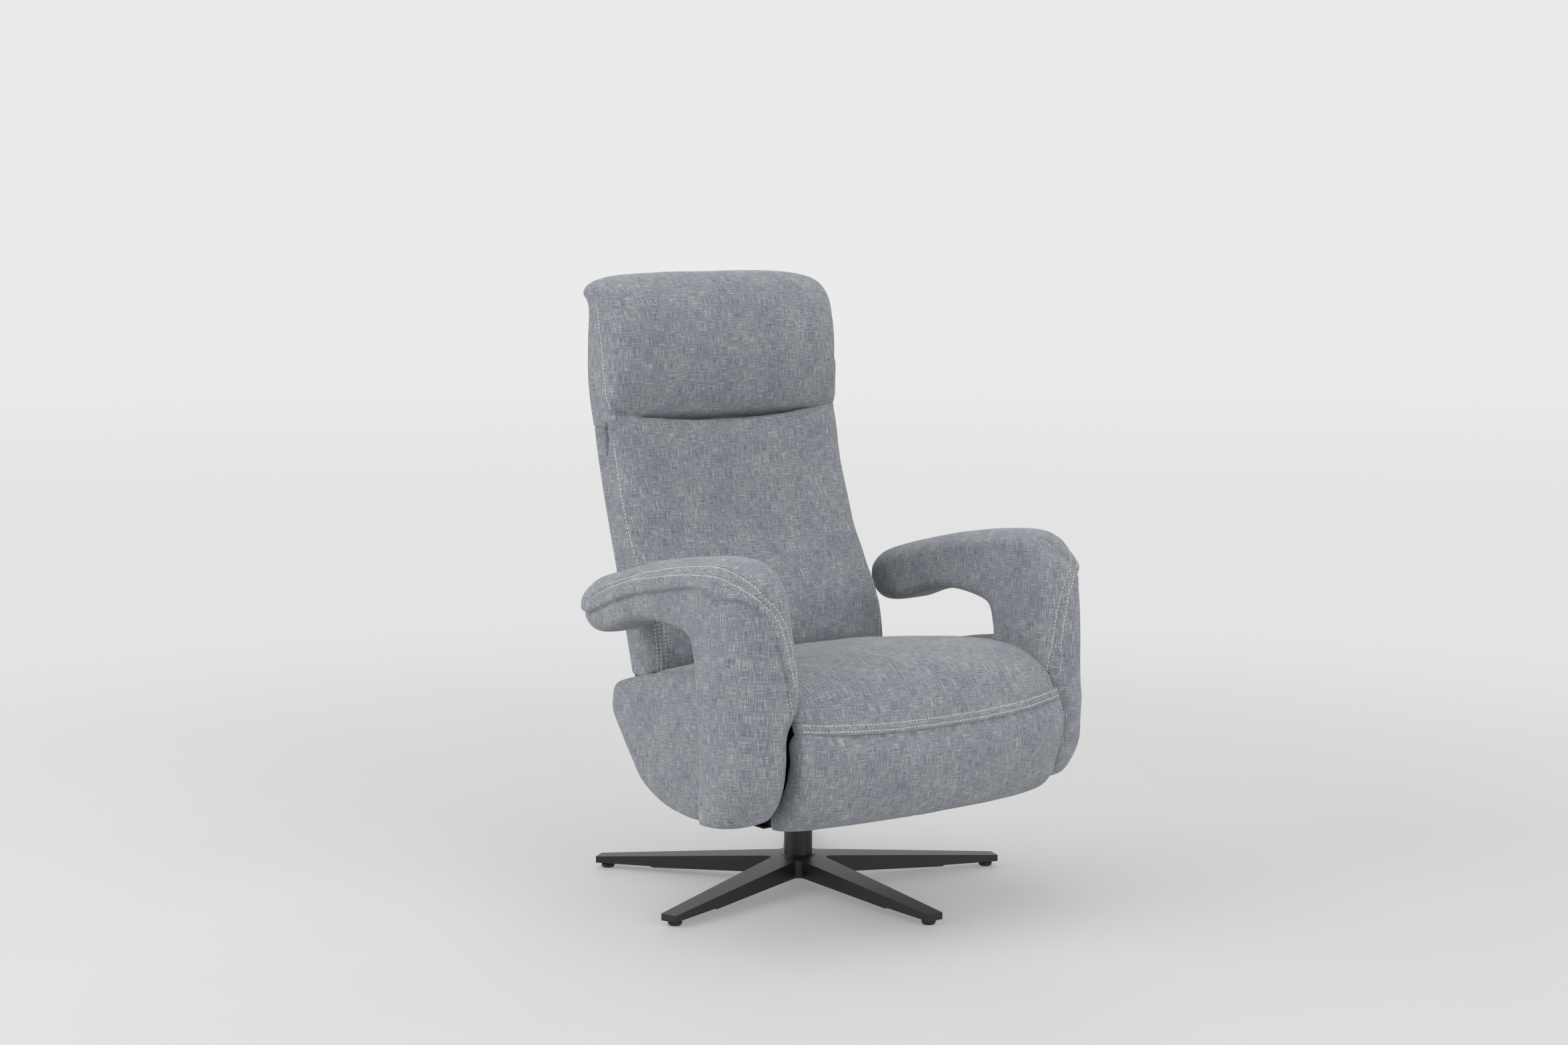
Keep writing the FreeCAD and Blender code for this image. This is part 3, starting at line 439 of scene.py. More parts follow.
materials = {
    # flat woven upholstery: matt, streaked by thick pale and thin dark stretches of its yarns
    "cover_fabric": melange_cloth(),
    # twisted polyester thread, pale cream, with a soft gleam
    "thread": grained("twisted_polyester_thread", ("#c9c6bd", "#e6e3da"), grain=0.8,
                      roughness=(0.5, 0.65), depth=0.1),
    # satin powder coat: a fine orange peel that softens every highlight
    "black_metal": grained("satin_black_powder_coat", ("#131314", "#1b1b1d"), grain=0.9,
                           roughness=(0.34, 0.44), depth=0.05),
    # phosphated and painted steel inside: duller than the base, slightly mottled
    "black_steel": grained("black_coated_steel", ("#18181a", "#232325"), grain=2.0,
                           roughness=(0.4, 0.55), depth=0.05),
    # zinc plate: a grey metal with faint drawn lines
    "plated_steel": grained("zinc_plated_steel", ("#8f9194", "#b3b4b6"), grain=1.2,
                            roughness=(0.28, 0.42), depth=0.02, metallic=1.0, stretch=(1, 1, 0.1)),
    # moulded nylon glides and bushes: a spark-eroded grain, drawn at 1 mm, as a finer one won't show
    "black_plastic": grained("moulded_black_nylon", ("#161617", "#202021"), grain=1.0,
                             roughness=(0.45, 0.6), depth=0.05),
    # birch plywood: pale with long brown grain
    "plywood": grained("birch_plywood", ("#a9824f", "#d3b285"), grain=3.0,
                       roughness=(0.5, 0.7), depth=0.1, stretch=(0.08, 0.08, 1)),
    # open-cell foam: cream, with pores that swallow the light
    "foam": grained("cold_cure_foam", ("#cfc9b0", "#e0dac2"), grain=1.5,
                    roughness=(0.85, 0.95), depth=0.4),
    # woven black lining: matt, with a dusty thread
    "black_cloth": grained("black_woven_lining", ("#17181a", "#2b2c2f"), grain=0.9,
                           roughness=(0.85, 0.95), depth=0.3, specular=0.2),
}


def finish_frame():
    """Give every node of the frame the finish of its slot."""
    for row in frame["record"]["subparts"]:
        node = frame["nodes"][row["node"]]
        node.data.materials.clear()
        node.data.materials.append(materials[row["material_slot"]])
        node.data.polygons.foreach_set("material_index", [0] * len(node.data.polygons))


# Half widths, then side and middle lines, as (y, z): the seat's top down to the front seam, and the
# front panel below it. Under and rear lines are the same all over the width.
SEAT_HALF = 281
PANEL_HALF = 284
SEAT_SIDE = [(68, 391), (0, 402), (-60, 410), (-127, 418), (-180, 426), (-234, 431), (-268, 429),
             (-303, 422), (-333, 410), (-357, 391), (-370, 369)]
SEAT_MIDDLE = [(64, 400), (0, 420), (-60, 434), (-127, 444), (-180, 450), (-234, 453), (-285, 450),
               (-330, 440), (-366, 421), (-393, 391), (-406, 358)]
PANEL_SIDE = [(-373, 361), (-381, 342), (-383, 319), (-378, 289), (-368, 258), (-352, 222),
              (-326, 194), (-292, 180)]
PANEL_MIDDLE = [(-409, 350), (-416, 332), (-418, 305), (-413, 276), (-402, 246), (-383, 214),
                (-352, 190), (-306, 178)]
SEAT_UNDER = [(-340, 362), (-300, 376), (58, 377)]
PANEL_REAR = [(-290, 198), (-295, 222), (-330, 275), (-338, 340)]
# The step between rings across a pad, the radii of rounded ends, and how flat the crown's middle is.
STATION_STEP = 14
SEAT_END, PANEL_END, BAND_END = 20, 10, 10
CROWN_POWER = 2.4

# At the front seam: its directions in the (y, z) plane, and how far each cover runs on under the band.
SEAM_DOWN = np.array([-0.42, -0.91])
SEAM_OUT = np.array([-0.91, 0.42])
UNDER_BAND = SEAM_DOWN * 9 - SEAM_OUT * 2
UNDER_BAND_UP = -SEAM_DOWN * 9 - SEAM_OUT * 2


def crown(x):
    """How far the seat swells at a distance across, from 0 at its sides to 1."""
    return 1 - min(1, abs(x) / SEAT_HALF) ** CROWN_POWER


def stations(half, step, end_radius):
    """Distances across a pad, closer together where its ends round off."""
    inner = np.linspace(-(half - end_radius), half - end_radius, int(2 * half / step))
    turns = [half - end_radius + end_radius * math.sin(angle) for angle in np.linspace(0, math.pi / 2, 9)[1:]]
    return [*[-x for x in reversed(turns)], *inner, *turns]


def inward(outline, amount):
    """An outline moved square to itself, to the right of its run."""
    line = np.array(outline, float)
    run = np.gradient(line, axis=0)
    run /= np.linalg.norm(run, axis=1, keepdims=True)
    return line + np.column_stack([-run[:, 1], run[:, 0]]) * amount


def seat_cover():
    """The seat's cover, from its rear over the nose to the front seam."""
    rings = []
    for x in stations(SEAT_HALF, STATION_STEP, SEAT_END):
        tuck = end_tuck(SEAT_HALF - abs(x), SEAT_END)
        top = inward(between(SEAT_SIDE, SEAT_MIDDLE, crown(x)), tuck)
        hem = top[-1] + UNDER_BAND
        ring = chained((np.vstack([top, hem]), 88), ([hem, (-352, 356), SEAT_UNDER[0]], 10),
                       (SEAT_UNDER, 34), ([SEAT_UNDER[-1], (64, 380), tuple(top[0])], 5))
        rings.append([(x, y, z) for y, z in ring])
    piece = loft("seat_cover", rings)
    inflated(piece, most=4)
    creased(piece, amount=1.6, grain=(90, 60, 60), seed=1)
    return piece


def front_panel():
    """The legrest's pad, which hangs below the front seam."""
    rings = []
    for x in stations(PANEL_HALF, STATION_STEP, PANEL_END):
        tuck = end_tuck(PANEL_HALF - abs(x), PANEL_END)
        front = inward(between(PANEL_SIDE, PANEL_MIDDLE, crown(x)), tuck)
        hem = front[0] + UNDER_BAND_UP
        rear = [tuple(front[-1]), *PANEL_REAR, tuple(hem)]
        ring = chained((np.vstack([hem, front]), 74), (rear, 44))
        rings.append([(x, y, z) for y, z in ring])
    piece = loft("front_panel", rings)
    inflated(piece, most=7)
    creased(piece, amount=1.6, grain=(110, 60, 50), seed=2)
    return piece


def front_seam(x):
    """The middle of the seam between seat and front panel, at a distance across."""
    side, middle = [SEAT_SIDE[-1], PANEL_SIDE[0]], [SEAT_MIDDLE[-1], PANEL_MIDDLE[0]]
    (top_y, top_z), (low_y, low_z) = between(side, middle, crown(x))
    return np.array([top_y + low_y, top_z + low_z]) / 2


# The band's cross-section, as (distance down the seam, distance out of the cloth).
BAND_SHAPE = [(-11, -5), (-10, -0.6), (-8.4, 1.0), (-6.4, 1.0), (-5.2, 0.5), (-3, 1.5), (0, 1.9), (3, 1.5),
              (5.2, 0.5), (6.4, 1.0), (8.4, 1.0), (10, -0.6), (11, -5), (6, -9), (-6, -9)]


def seam_band():
    """Flat-felled seam between seat and legrest: a doubled strip with a ridge along its middle."""
    rings = []
    for x in stations(SEAT_HALF - 1, 9, BAND_END):
        middle = front_seam(x) - SEAM_OUT * end_tuck(SEAT_HALF - 1 - abs(x), BAND_END)
        rings.append([(x, *(middle + SEAM_DOWN * along + SEAM_OUT * proud)) for along, proud in BAND_SHAPE])
    band = subdivided(loft("seat_front_seam", rings), 2)
    creased(band, amount=0.8, grain=(14, 9, 9), seed=4)
    return band


# The lining from the rail down, as (y, z), then how its side folds back, as (x, distance back).
LINING_FALL = [(-321, 372), (-321, 344), (-312, 300), (-298, 250), (-284, 205), (-281, 188)]
LINING_END = [(258, 0), (267, 3), (270, 12), (270, 26)]


def front_lining():
    """Black cloth stapled inside the front rail, which hangs down to the edge of the tray."""
    line = curve_through(LINING_FALL, 30)
    left_end = [(-x, back) for x, back in reversed(LINING_END)]
    across = [*left_end, *[(x, 0) for x in range(-240, 241, 12)], *LINING_END]
    spots, faces = [], []
    for y, z in line:
        looseness = min(1, (LINING_FALL[0][1] - z) / 60)
        for x, back in across:
            fold = 1.5 * math.sin(x / 21 + z / 40) * looseness
            spots.append(at(x, y + back + fold, z))
    for row in range(len(line) - 1):
        for column in range(len(across) - 1):
            corner = row * len(across) + column
            faces.append((corner, corner + 1, corner + len(across) + 1, corner + len(across)))
    lining = new_piece("front_lining", spots, faces)
    tidy_normals(lining)
    lining.data.materials.append(materials["black_cloth"])
    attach(lining, "seat")


# The rows of the twin seam, as distances down from its middle.
SEAM_ROWS = (("seat_stitches", -5.3), ("panel_stitches", 5.3))


def seat_and_legrest():
    """The seat's cover, left unattached, and the legrest, which carries the panel, the seam and its stitches.
    """
    cover = seat_cover()
    panel = front_panel()
    band = seam_band()
    for name, away in SEAM_ROWS:
        line = [(x, *(front_seam(x) + SEAM_DOWN * away + SEAM_OUT * 2))
                for x in np.linspace(-SEAT_HALF + 6, SEAT_HALF - 6, 81)]
        stitched(name, band, line, "legrest")
    upholstered(cover, None, "seat_cushion")
    upholstered(panel, "legrest", "legrest_cushion")
    upholstered(band, "legrest", fill=0.4)
    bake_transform(cover)


# Each row: top or front edge (y, z), lower or rear edge (y, z), inner and outer face (x), radius of
# the outer shoulder, and the pad's seam as (x, distance below the top edge).
ARM = [
    ((170, 533), (160, 497), 284, 346, 26, (344, 30)),
    ((140, 549), (146, 483), 282, 352, 30, (352, 50)),
    ((100, 563), (118, 469), 280, 357, 34, (357, 64)),
    ((25, 583), (60, 476), 279, 361, 38, (361, 61)),
    ((-50, 601), (-5, 497), 278, 364, 38, (364, 60)),
    ((-120, 613), (-70, 509), 276, 366, 38, (366, 60)),
    ((-185, 622), (-120, 508), 275, 367, 40, (367, 60)),
    ((-245, 628), (-158, 502), 273, 368, 44, (368, 60)),
    ((-290, 624), (-180, 494), 272, 369, 50, (369, 62)),
    ((-322, 606), (-190, 482), 271, 369, 56, (369, 55)),
    ((-342, 580), (-196, 465), 270, 370, 60, (354, 24)),
    ((-351, 545), (-201, 445), 269, 370, 62, (332, 4)),
    ((-356, 500), (-204, 415), 265, 371, 64, (314, 0)),
    ((-358, 450), (-205, 383), 260, 371, 64, (303, 0)),
    ((-360, 400), (-208, 350), 262, 371, 64, (290, 0)),
    ((-360, 350), (-211, 315), 282, 371, 64, (283, 14)),
    ((-359, 308), (-210, 278), 283, 370, 64, (283, 24)),
    ((-355, 272), (-208, 244), 283, 370, 62, (283, 24)),
    ((-341, 240), (-205, 216), 283, 368, 58, (283, 24)),
    ((-318, 212), (-203, 197), 283, 366, 46, (283, 24)),
    ((-288, 192), (-202, 184), 284, 363, 36, (284, 24)),
]
# The row where the pad ends at the arm's front, the rings to each row, the points of each ring along
# the pad and the post, and how far the arm's two ends round off.
PAD_TIP_ROW = 14.4
ARM_STEPS = 7
RING_PAD, RING_POST = 56, 44
REAR_ROUND, FOOT_ROUND = 30, 16
# How far the pad stands proud, over what width, and the depth and width of its seam's groove.
PAD_PROUD, PAD_FALL = 5.5, 45
GROOVE_DEPTH, GROOVE_WIDTH = 4.5, 4


# The two rows of stitching beside the pad's seam, from the arm's end over the bend to the pad's tip.
ARM_STITCHES = {
    "outer": [(366, 97, 531), (365, 56, 549), (364, -12, 566), (364, -98, 581), (364, -187, 594),
              (364, -261, 600), (360, -314, 596), (350, -343, 583), (330, -350, 563), (316, -353, 540),
              (303, -356, 506), (293, -358, 458), (287, -357, 422), (284, -356, 384)],
    "inner": [(362, 56, 559), (359, -12, 577), (357, -98, 593), (356, -187, 607), (355, -261, 615),
              (350, -303, 609), (342, -330, 598), (325, -346, 574), (306, -350, 551), (292, -352, 518),
              (284, -353, 484), (278, -354, 448), (272, -352, 419), (269, -350, 390)],
}
# Short creases where the pad bends down, on its outer side.
BEND_CREASES = [[(366, -300, 590), (362, -322, 570), (352, -338, 560)],
                [(364, -318, 560), (352, -338, 551), (338, -346, 548)],
                [(358, -330, 548), (346, -344, 542), (334, -350, 534)]]
ARM_SAMPLES = 241


def arm_profile(width, height, shoulder):
    """The arm's cross-section, from the middle of its top outward and all the way round."""
    inner_top, low = min(30, height / 2.2), min(20, height / 2.3)
    shoulder = min(shoulder, width * 0.66, height / 1.6)
    corners = [((width - shoulder, height - shoulder), shoulder, 90), ((width - low, low), low, 0),
               ((low, low), low, -90), ((inner_top, height - inner_top), inner_top, 180)]
    line = [(width / 2 - 8, height)]
    for (across, up), radius, start in corners:
        for turn in np.linspace(0, 90, 10):
            angle = math.radians(start - turn)
            line.append((across + radius * math.cos(angle), up + radius * math.sin(angle)))
    line.append(line[0])
    line = even_steps(line, ARM_SAMPLES)
    swell = np.sin(np.pi * np.clip(line[:, 1] / height, 0, 1)) * 5
    line[:, 0] += np.where(line[:, 0] > width / 2, swell, -swell * 0.3)
    rise = np.where(line[:, 1] > height / 2, 4, -2)
    line[:, 1] += np.sin(np.pi * np.clip(line[:, 0] / width, 0, 1)) * rise
    return line


def nearest(line, spot):
    """The index of the point of a line that is nearest to a spot."""
    return int(np.argmin(np.linalg.norm(line - np.array(spot), axis=1)))


def arm_ring(row, rows_done, end_scale):
    """One ring of the arm, which starts at the pad's seam and runs down the post first."""
    top, low = row[0:2], row[2:4]
    inner, outer, shoulder, seam_x, seam_drop = row[4:9]
    height = np.linalg.norm(top - low)
    width = outer - inner
    line = arm_profile(width, height, shoulder)
    start = nearest(line[:-1], (seam_x - inner, height - seam_drop))
    turned = np.vstack([line[start:-1], line[:start + 1]])
    # the inner bottom corner, where the pad's cloth starts
    end = nearest(turned[:-1], (2, 26))
    post = even_steps(turned[:end + 1], RING_POST + 1)[:-1]
    pad = even_steps(turned[end:], RING_PAD + 1)[:-1]
    ring = np.vstack([post, pad])
    ring = ring + ring_offset(ring, rows_done)
    centre = np.array([width / 2, height / 2])
    ring = centre + (ring - centre) * end_scale
    along = (top - low) / height
    return [(inner + a, *(low + along * up)) for a, up in ring]


def ring_offset(ring, rows_done):
    """The pad stands proud of the post along its seam and is drawn in at the seam itself."""
    run = np.roll(ring, -1, axis=0) - np.roll(ring, 1, axis=0)
    run /= np.maximum(np.linalg.norm(run, axis=1, keepdims=True), 1e-6)
    out = np.column_stack([-run[:, 1], run[:, 0]])
    centre = ring.mean(axis=0)
    if np.sum((ring - centre) * out) < 0:
        out = -out
    count = len(ring)
    step = np.linalg.norm(np.roll(ring, -1, axis=0) - ring, axis=1).mean()
    after = np.arange(count) * step
    before = (count - np.arange(count)) % count * step
    fade = 1 - min(1, max(0, (rows_done - PAD_TIP_ROW + 0.5) / 0.8))
    swell = PAD_PROUD * np.cos(np.clip(before / PAD_FALL, 0, 1) * np.pi / 2)
    proud = np.where(before < PAD_FALL, swell, 0)
    proud[0] = 0
    groove = -GROOVE_DEPTH * np.exp(-((np.minimum(after, before) / GROOVE_WIDTH) ** 2))
    return out * ((proud + groove) * fade)[:, None]


def arm_rings():
    """The rings of the right arm, from its rear end over the bend to its foot."""
    flat = [(*top, *low, inner, outer, shoulder, *seam) for top, low, inner, outer, shoulder, seam in ARM]
    table = smooth_rows(flat, ARM_STEPS)
    middles = (table[:, 0:2] + table[:, 2:4]) / 2
    run = np.concatenate([[0], np.cumsum(np.linalg.norm(np.diff(middles, axis=0), axis=1))])
    rings = []
    for index, row in enumerate(table):
        scale = 1.0
        for distance, reach in ((run[index], REAR_ROUND), (run[-1] - run[index], FOOT_ROUND)):
            if distance < reach:
                scale = min(scale, math.sqrt(max(0.02, 1 - (1 - distance / reach) ** 2)))
        rings.append(arm_ring(row, index / ARM_STEPS, scale))
    return rings


def arms():
    """Both arms, each with its pad's twin seam and the creases at its bend."""
    rings = arm_rings()
    for side, sign in (("right", 1), ("left", -1)):
        shaped = [[(sign * x, y, z) for x, y, z in ring] for ring in rings]
        piece = subdivided(loft(f"arm_cover_{side}", shaped))
        creased(piece, amount=1.5, grain=(50, 60, 60), seed=3)
        rows = {name: [(sign * x, y, z) for x, y, z in curve_through(line, 60)]
                for name, line in ARM_STITCHES.items()}
        for line in rows.values():
            sewn(piece, line, depth=1.8, width=3.0, puff=1.0)
        for crease in BEND_CREASES:
            fold = [(sign * x, y, z) for x, y, z in curve_through(crease, 12)]
            sewn(piece, fold, depth=2.2, width=3.2, puff=1.0)
        for name, line in rows.items():
            stitched(f"arm_stitches_{name}_{side}", piece, line, "seat")
        upholstered(piece, "seat", f"arm_{side}")


# The side panels' lower and upper edge, as (y, z), from the rear tip forward, and their inner face.
BOAT_LOW = [(119, 364), (103, 347), (68, 295), (38, 250), (8, 217), (-42, 192), (-110, 180), (-160, 181),
            (-212, 186)]
BOAT_TOP = [(119, 367), (100, 377), (70, 387), (38, 397), (8, 404), (-42, 414), (-110, 426), (-160, 434),
            (-212, 444)]
BOAT_INNER = 288


def side_panels():
    """The boat-shaped pads at the seat's sides, thinner towards the tip."""
    low, top = curve_through(BOAT_LOW, 40), curve_through(BOAT_TOP, 40)
    for side, sign in (("right", 1), ("left", -1)):
        rings = []
        for index, (foot, head) in enumerate(zip(low, top)):
            height = np.linalg.norm(head - foot)
            thick = min(50, 14 + 0.55 * height)
            ring = []
            for turn in np.linspace(0, 2 * math.pi, 56, endpoint=False):
                c, s = math.cos(turn), math.sin(turn)
                up = 0.5 + 0.5 * math.copysign(abs(s) ** 0.62, s)
                out = math.copysign(abs(c) ** (0.55 if c < 0 else 0.75), c)
                x = BOAT_INNER + thick / 2 + out * thick / 2
                ring.append((sign * x, *(foot + (head - foot) * up)))
            rings.append(ring)
        piece = subdivided(loft(f"side_panel_cover_{side}", rings))
        creased(piece, amount=1.2, grain=(60, 60, 60), seed=5)
        upholstered(piece, "seat", f"side_panel_{side}")


# The back's edge at its sides and its front in the middle, then the headrest's, as (y, z).
BACK_HALF = 253
BACK_EDGE = [(74, 386), (77, 430), (88, 478), (108, 520), (130, 562), (157, 610), (179, 670), (197, 730),
             (208, 786), (218, 836)]
BACK_MIDDLE = [(62, 386), (58, 430), (62, 478), (80, 520), (104, 562), (131, 610), (154, 670), (172, 730),
               (184, 786), (196, 836)]
HEAD_EDGE = [(218, 838), (229, 862), (239, 913), (249, 964), (255, 1000), (262, 1020), (276, 1034),
             (290, 1040), (302, 1036), (304, 1026), (296, 1018)]
HEAD_MIDDLE = [(206, 838), (192, 862), (184, 913), (188, 964), (203, 1012), (226, 1046), (258, 1068),
               (292, 1075), (318, 1066), (328, 1048), (312, 1034)]
# The headrest pad's rear, the middle of its hinge, and how far its seam sags.
HEAD_BEHIND = [(292, 1000), (280, 930), (272, 860), (264, 812), (250, 800), (234, 804)]
HEAD_CENTRE = (252, 820)
HEAD_DIP = 20
BACK_END, HEAD_END = 30, 34
BACK_DOME, HEAD_DOME = 2.4, 3.4
BACK_THICKNESS = 42


def hinge_round(radius, degrees):
    """A point round the headrest's hinge, from its front downward."""
    turn = math.radians(degrees)
    return (HEAD_CENTRE[0] - radius * math.cos(turn), HEAD_CENTRE[1] - radius * math.sin(turn))


def dome(x, power):
    """How far a pad stands out at a distance across, from 0 at its sides to 1 over a flat middle."""
    return (1 - min(1, abs(x) / BACK_HALF) ** power) ** (1 / power)


def dip(x):
    """How far the headrest's seam sags at a distance across."""
    return HEAD_DIP * (1 - (x / BACK_HALF) ** 2)


def back_pad():
    """The back's pad, from the seat up to the headrest's seam."""
    rings = []
    for x in stations(BACK_HALF, STATION_STEP, BACK_END):
        front = np.array(between(BACK_EDGE, BACK_MIDDLE, dome(x, BACK_DOME)))
        front[-2:, 1] -= dip(x) * np.array([0.5, 1])
        front = inward(front, -end_tuck(BACK_HALF - abs(x), 10))
        seam = tuple(front[-1])
        behind = [(y + BACK_THICKNESS, z) for y, z in reversed(BACK_EDGE[:-2])]
        top = [seam, (seam[0] + 14, seam[1] - 2), hinge_round(34, 10), hinge_round(46, 52), behind[0]]
        foot = [behind[-1], (behind[-1][0] - 8, 382), tuple(front[0])]
        ring = chained((front, 100), (top, 20), (behind, 50), (foot, 8))
        rings.append([(x, y, z) for y, z in ring])
    piece = loft("back_pad", rings)
    inflated(piece, most=5)
    creased(piece, amount=1.4, grain=(80, 80, 70), seed=7)
    return piece


def headrest_pad():
    """The headrest's pad, from its sagging seam over the rolled top."""
    rings = []
    for x in stations(BACK_HALF, STATION_STEP, HEAD_END):
        line = np.array(between(HEAD_EDGE, HEAD_MIDDLE, dome(x, HEAD_DOME)))
        line[0, 1] -= dip(x)
        front = inward(line, -end_tuck(BACK_HALF - abs(x), 8))
        ring = chained((front, 104), ([tuple(front[-1]), *HEAD_BEHIND, tuple(front[0])], 60))
        rings.append([(x, y, z) for y, z in ring])
    piece = loft("headrest_pad", rings)
    inflated(piece, most=7)
    creased(piece, amount=1.4, grain=(90, 80, 60), seed=9)
    return piece


# The rear and front lines of the back's shell and of the headrest's hood, as (y, z), and their half
# widths.
SHELL_REAR = [(183, 369), (208, 450), (231, 550), (262, 661), (284, 750), (296, 808)]
SHELL_FRONT = [(96, 372), (110, 450), (150, 550), (192, 661), (222, 750), (236, 808)]
HOOD_REAR = [(294, 801), (308, 850), (314, 895), (311, 950), (302, 1000), (294, 1026)]
HOOD_FRONT = [(236, 801), (244, 850), (250, 895), (256, 950), (264, 1000), (272, 1026)]
SHELL_HALF, HOOD_HALF = 243, 244


def shell(name, front, rear, half):
    """A rear shell: a flat back with rounded sides that come forward beside the pad."""
    fore, aft = curve_through(front, 60), curve_through(rear, 60)
    rings = []
    for (front_y, front_z), (rear_y, rear_z) in zip(fore, aft):
        ring = []
        for turn in np.linspace(0, 2 * math.pi, 96, endpoint=False):
            c, s = math.cos(turn), math.sin(turn)
            across = math.copysign(abs(c) ** 0.28, c)
            back = math.copysign(abs(s) ** 0.5, s)
            y = (front_y + rear_y) / 2 + back * (rear_y - front_y) / 2
            ring.append((across * half, y, (front_z + rear_z) / 2))
        rings.append(ring)
    return subdivided(loft(name, rings))


# The twin rows low on the back's pad, as distances in from its sides.
LOW_ROWS = (("edge", 7), ("inner", 17))


def back_and_headrest():
    """Pads, shell and hood with their stitches. The back's pad, the hood and the long rows up the pad's sides
    are left unattached.
    """
    pad = back_pad()
    head = headrest_pad()
    lower = shell("back_shell_cover", SHELL_FRONT, SHELL_REAR, SHELL_HALF)
    hood = shell("headrest_hood", HOOD_FRONT, HOOD_REAR, HOOD_HALF)
    for side, sign in (("right", 1), ("left", -1)):
        line = [(sign * (BACK_HALF - 2), y - 1, z) for y, z in curve_through(BACK_EDGE[:-1], 60)]
        row = stitched(f"back_stitches_{side}", pad, line, None)
        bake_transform(row)
        for name, inset in LOW_ROWS:
            low = [(sign * (BACK_HALF - inset), y - 9, z) for y, z in curve_through(BACK_EDGE[:4], 30)]
            sewn(pad, low, depth=1.4, width=2.6, puff=0.8)
            stitched(f"back_stitches_{name}_{side}", pad, low, "back")
        edge = [(sign * (BACK_HALF - 2), y - 1, z) for y, z in curve_through(HEAD_EDGE[:6], 40)]
        stitched(f"headrest_stitches_{side}", head, edge, "headrest")
    upholstered(pad, None, "back_cushion")
    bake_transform(pad)
    upholstered(lower, "back", "back_shell")
    upholstered(head, "headrest", "headrest_cushion")
    upholstered(hood, None, "headrest_cover")
    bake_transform(hood)


WALL = "#ebebec"
FAR_FLOOR = "#e3e3e4"
WORLD_STRENGTH = 0.62
# Each softbox: name, place, aim, size in metres and power in watts.
SOFTBOXES = [
    ("softbox_left", (-3.6, 1.2, 2.2), (0, 0, 0.5), 2.4, 84),
    ("softbox_top", (0.2, 0.3, 4.0), (0, 0, 0.5), 3.4, 44),
    ("softbox_front", (0.4, -4.2, 1.8), (0, 0, 0.5), 2.6, 72),
]


def seen_directly(tree):
    """1 where the camera or a glossy surface sees, and the path that tells it."""
    path = add(tree, "LightPath")
    seen = add(tree, "Math", {0: path.outputs["Is Camera Ray"], 1: path.outputs["Is Glossy Ray"]},
               operation="MAXIMUM").outputs[0]
    return seen, path


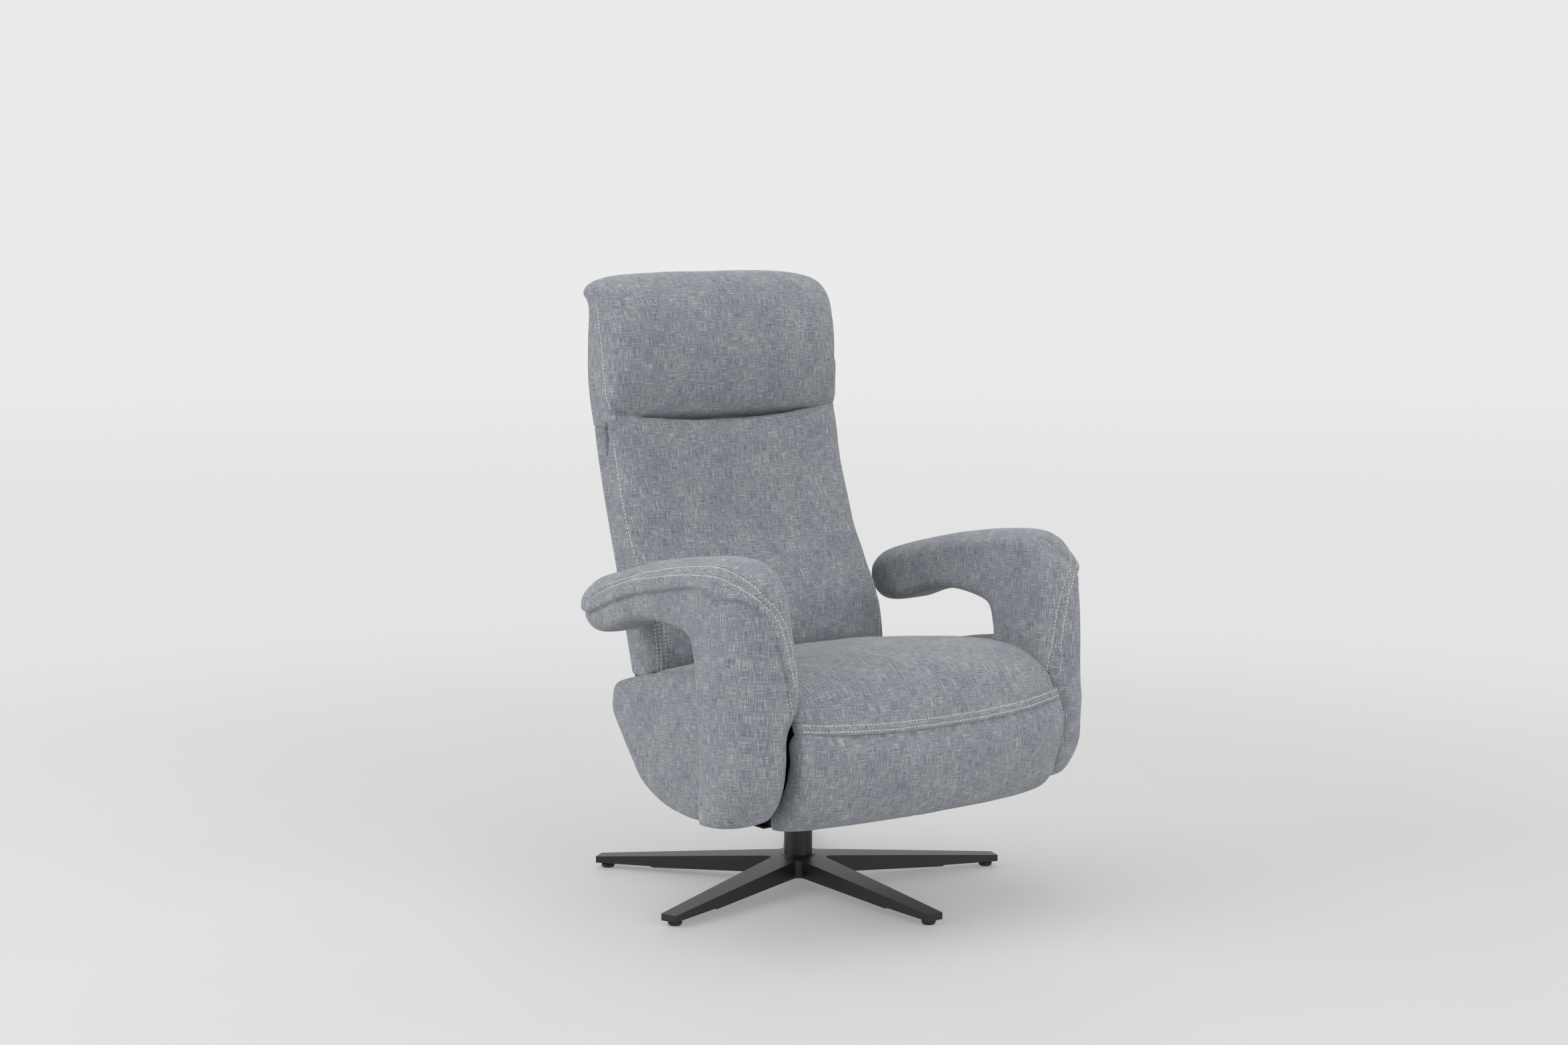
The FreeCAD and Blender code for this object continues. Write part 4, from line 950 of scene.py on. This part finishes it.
def pale_floor():
    """Matt white floor paint that fades into the background far away, and glows for the camera even under the
    chair: painted light that pales the chair's shadow.
    """
    bpy.ops.mesh.primitive_plane_add(size=60)
    floor = bpy.context.object
    floor.name = "studio_floor"
    # a broad, weak wander of tone, and just enough gloss to ground the glides
    made, tree, shader = new_material("matt_white_floor")
    coordinates = add(tree, "TexCoord").outputs["Object"]
    dust = add(tree, "TexNoise", {"Vector": coordinates, "Scale": 1.6, "Detail": 2.0}).outputs["Fac"]
    paint = stops(add(tree, "ValToRGB", {"Fac": dust}), (0.3, "#c6c6c7"), (0.7, "#cacaca"))
    tree.links.new(paint, shader.inputs["Base Color"])
    shader.inputs["Roughness"].default_value = 0.55
    away = add(tree, "VectorMath", {0: coordinates}, operation="LENGTH").outputs["Value"]
    # painted light: for camera and glossy rays the floor glows with at least 0.3 of the far floor's colour,
    # right up to the chair, which pales the chair's cast shadow; the glow rises to all of it by 3.2 m, where
    # it turns into the backdrop
    far = add(tree, "MapRange", {0: away, 1: 0.7, 2: 3.2, 3: 0.3},
              interpolation_type="SMOOTHSTEP").outputs[0]
    horizon = add(tree, "MapRange", {0: away, 1: 4.0, 2: 16.0}, interpolation_type="SMOOTHSTEP").outputs[0]
    distant = add(tree, "Mix", {0: horizon, 6: srgb(FAR_FLOOR), 7: srgb(WALL)}, data_type="RGBA").outputs[2]
    seen = seen_directly(tree)[0]
    glow_share = add(tree, "Math", {0: far, 1: seen}, operation="MULTIPLY").outputs[0]
    glow = add(tree, "Emission", {"Color": distant})
    mixed = add(tree, "MixShader", {0: glow_share, 1: shader.outputs[0], 2: glow.outputs[0]})
    output = next(node for node in tree.nodes if node.type == "OUTPUT_MATERIAL")
    tree.links.new(mixed.outputs[0], output.inputs["Surface"])
    floor.data.materials.append(made)


def surroundings():
    """An even white light all round, which shows as the pale wall."""
    world = bpy.data.worlds.new("studio")
    bpy.context.scene.world = world
    world.use_nodes = True
    tree = world.node_tree
    tree.nodes.clear()
    straight, path = seen_directly(tree)
    seen = add(tree, "Math", {0: straight, 1: path.outputs["Is Transmission Ray"]},
               operation="MAXIMUM").outputs[0]
    light = add(tree, "Background", {"Color": (1, 1, 1, 1), "Strength": WORLD_STRENGTH})
    backdrop = add(tree, "Background", {"Color": srgb(WALL), "Strength": 1.0})
    mixed = add(tree, "MixShader", {0: seen, 1: light.outputs[0], 2: backdrop.outputs[0]})
    add(tree, "OutputWorld", {"Surface": mixed.outputs[0]})


def softboxes():
    for name, place, aim, size, power in SOFTBOXES:
        lamp = bpy.data.lights.new(name, "AREA")
        lamp.energy, lamp.size = power, size
        holder = bpy.data.objects.new(name, lamp)
        bpy.context.scene.collection.objects.link(holder)
        holder.location = place
        holder.rotation_euler = (Vector(aim) - Vector(place)).to_track_quat("-Z", "Y").to_euler()


def photographer():
    """The camera, where the photograph was taken from."""
    camera = bpy.data.cameras.new("camera")
    camera.lens, camera.sensor_width = 62.31, 36
    camera.clip_end = 100
    holder = bpy.data.objects.new("camera", camera)
    bpy.context.scene.collection.objects.link(holder)
    holder.location = (-2.85031, -3.71092, 1.19619)
    holder.rotation_euler = (math.radians(83.277), 0, math.radians(-36.925))
    bpy.context.scene.camera = holder


finish_frame()
seat_and_legrest()
front_lining()
arms()
side_panels()
back_and_headrest()
pale_floor()
surroundings()
softboxes()
photographer()
bpy.context.scene.view_settings.view_transform = "Standard"
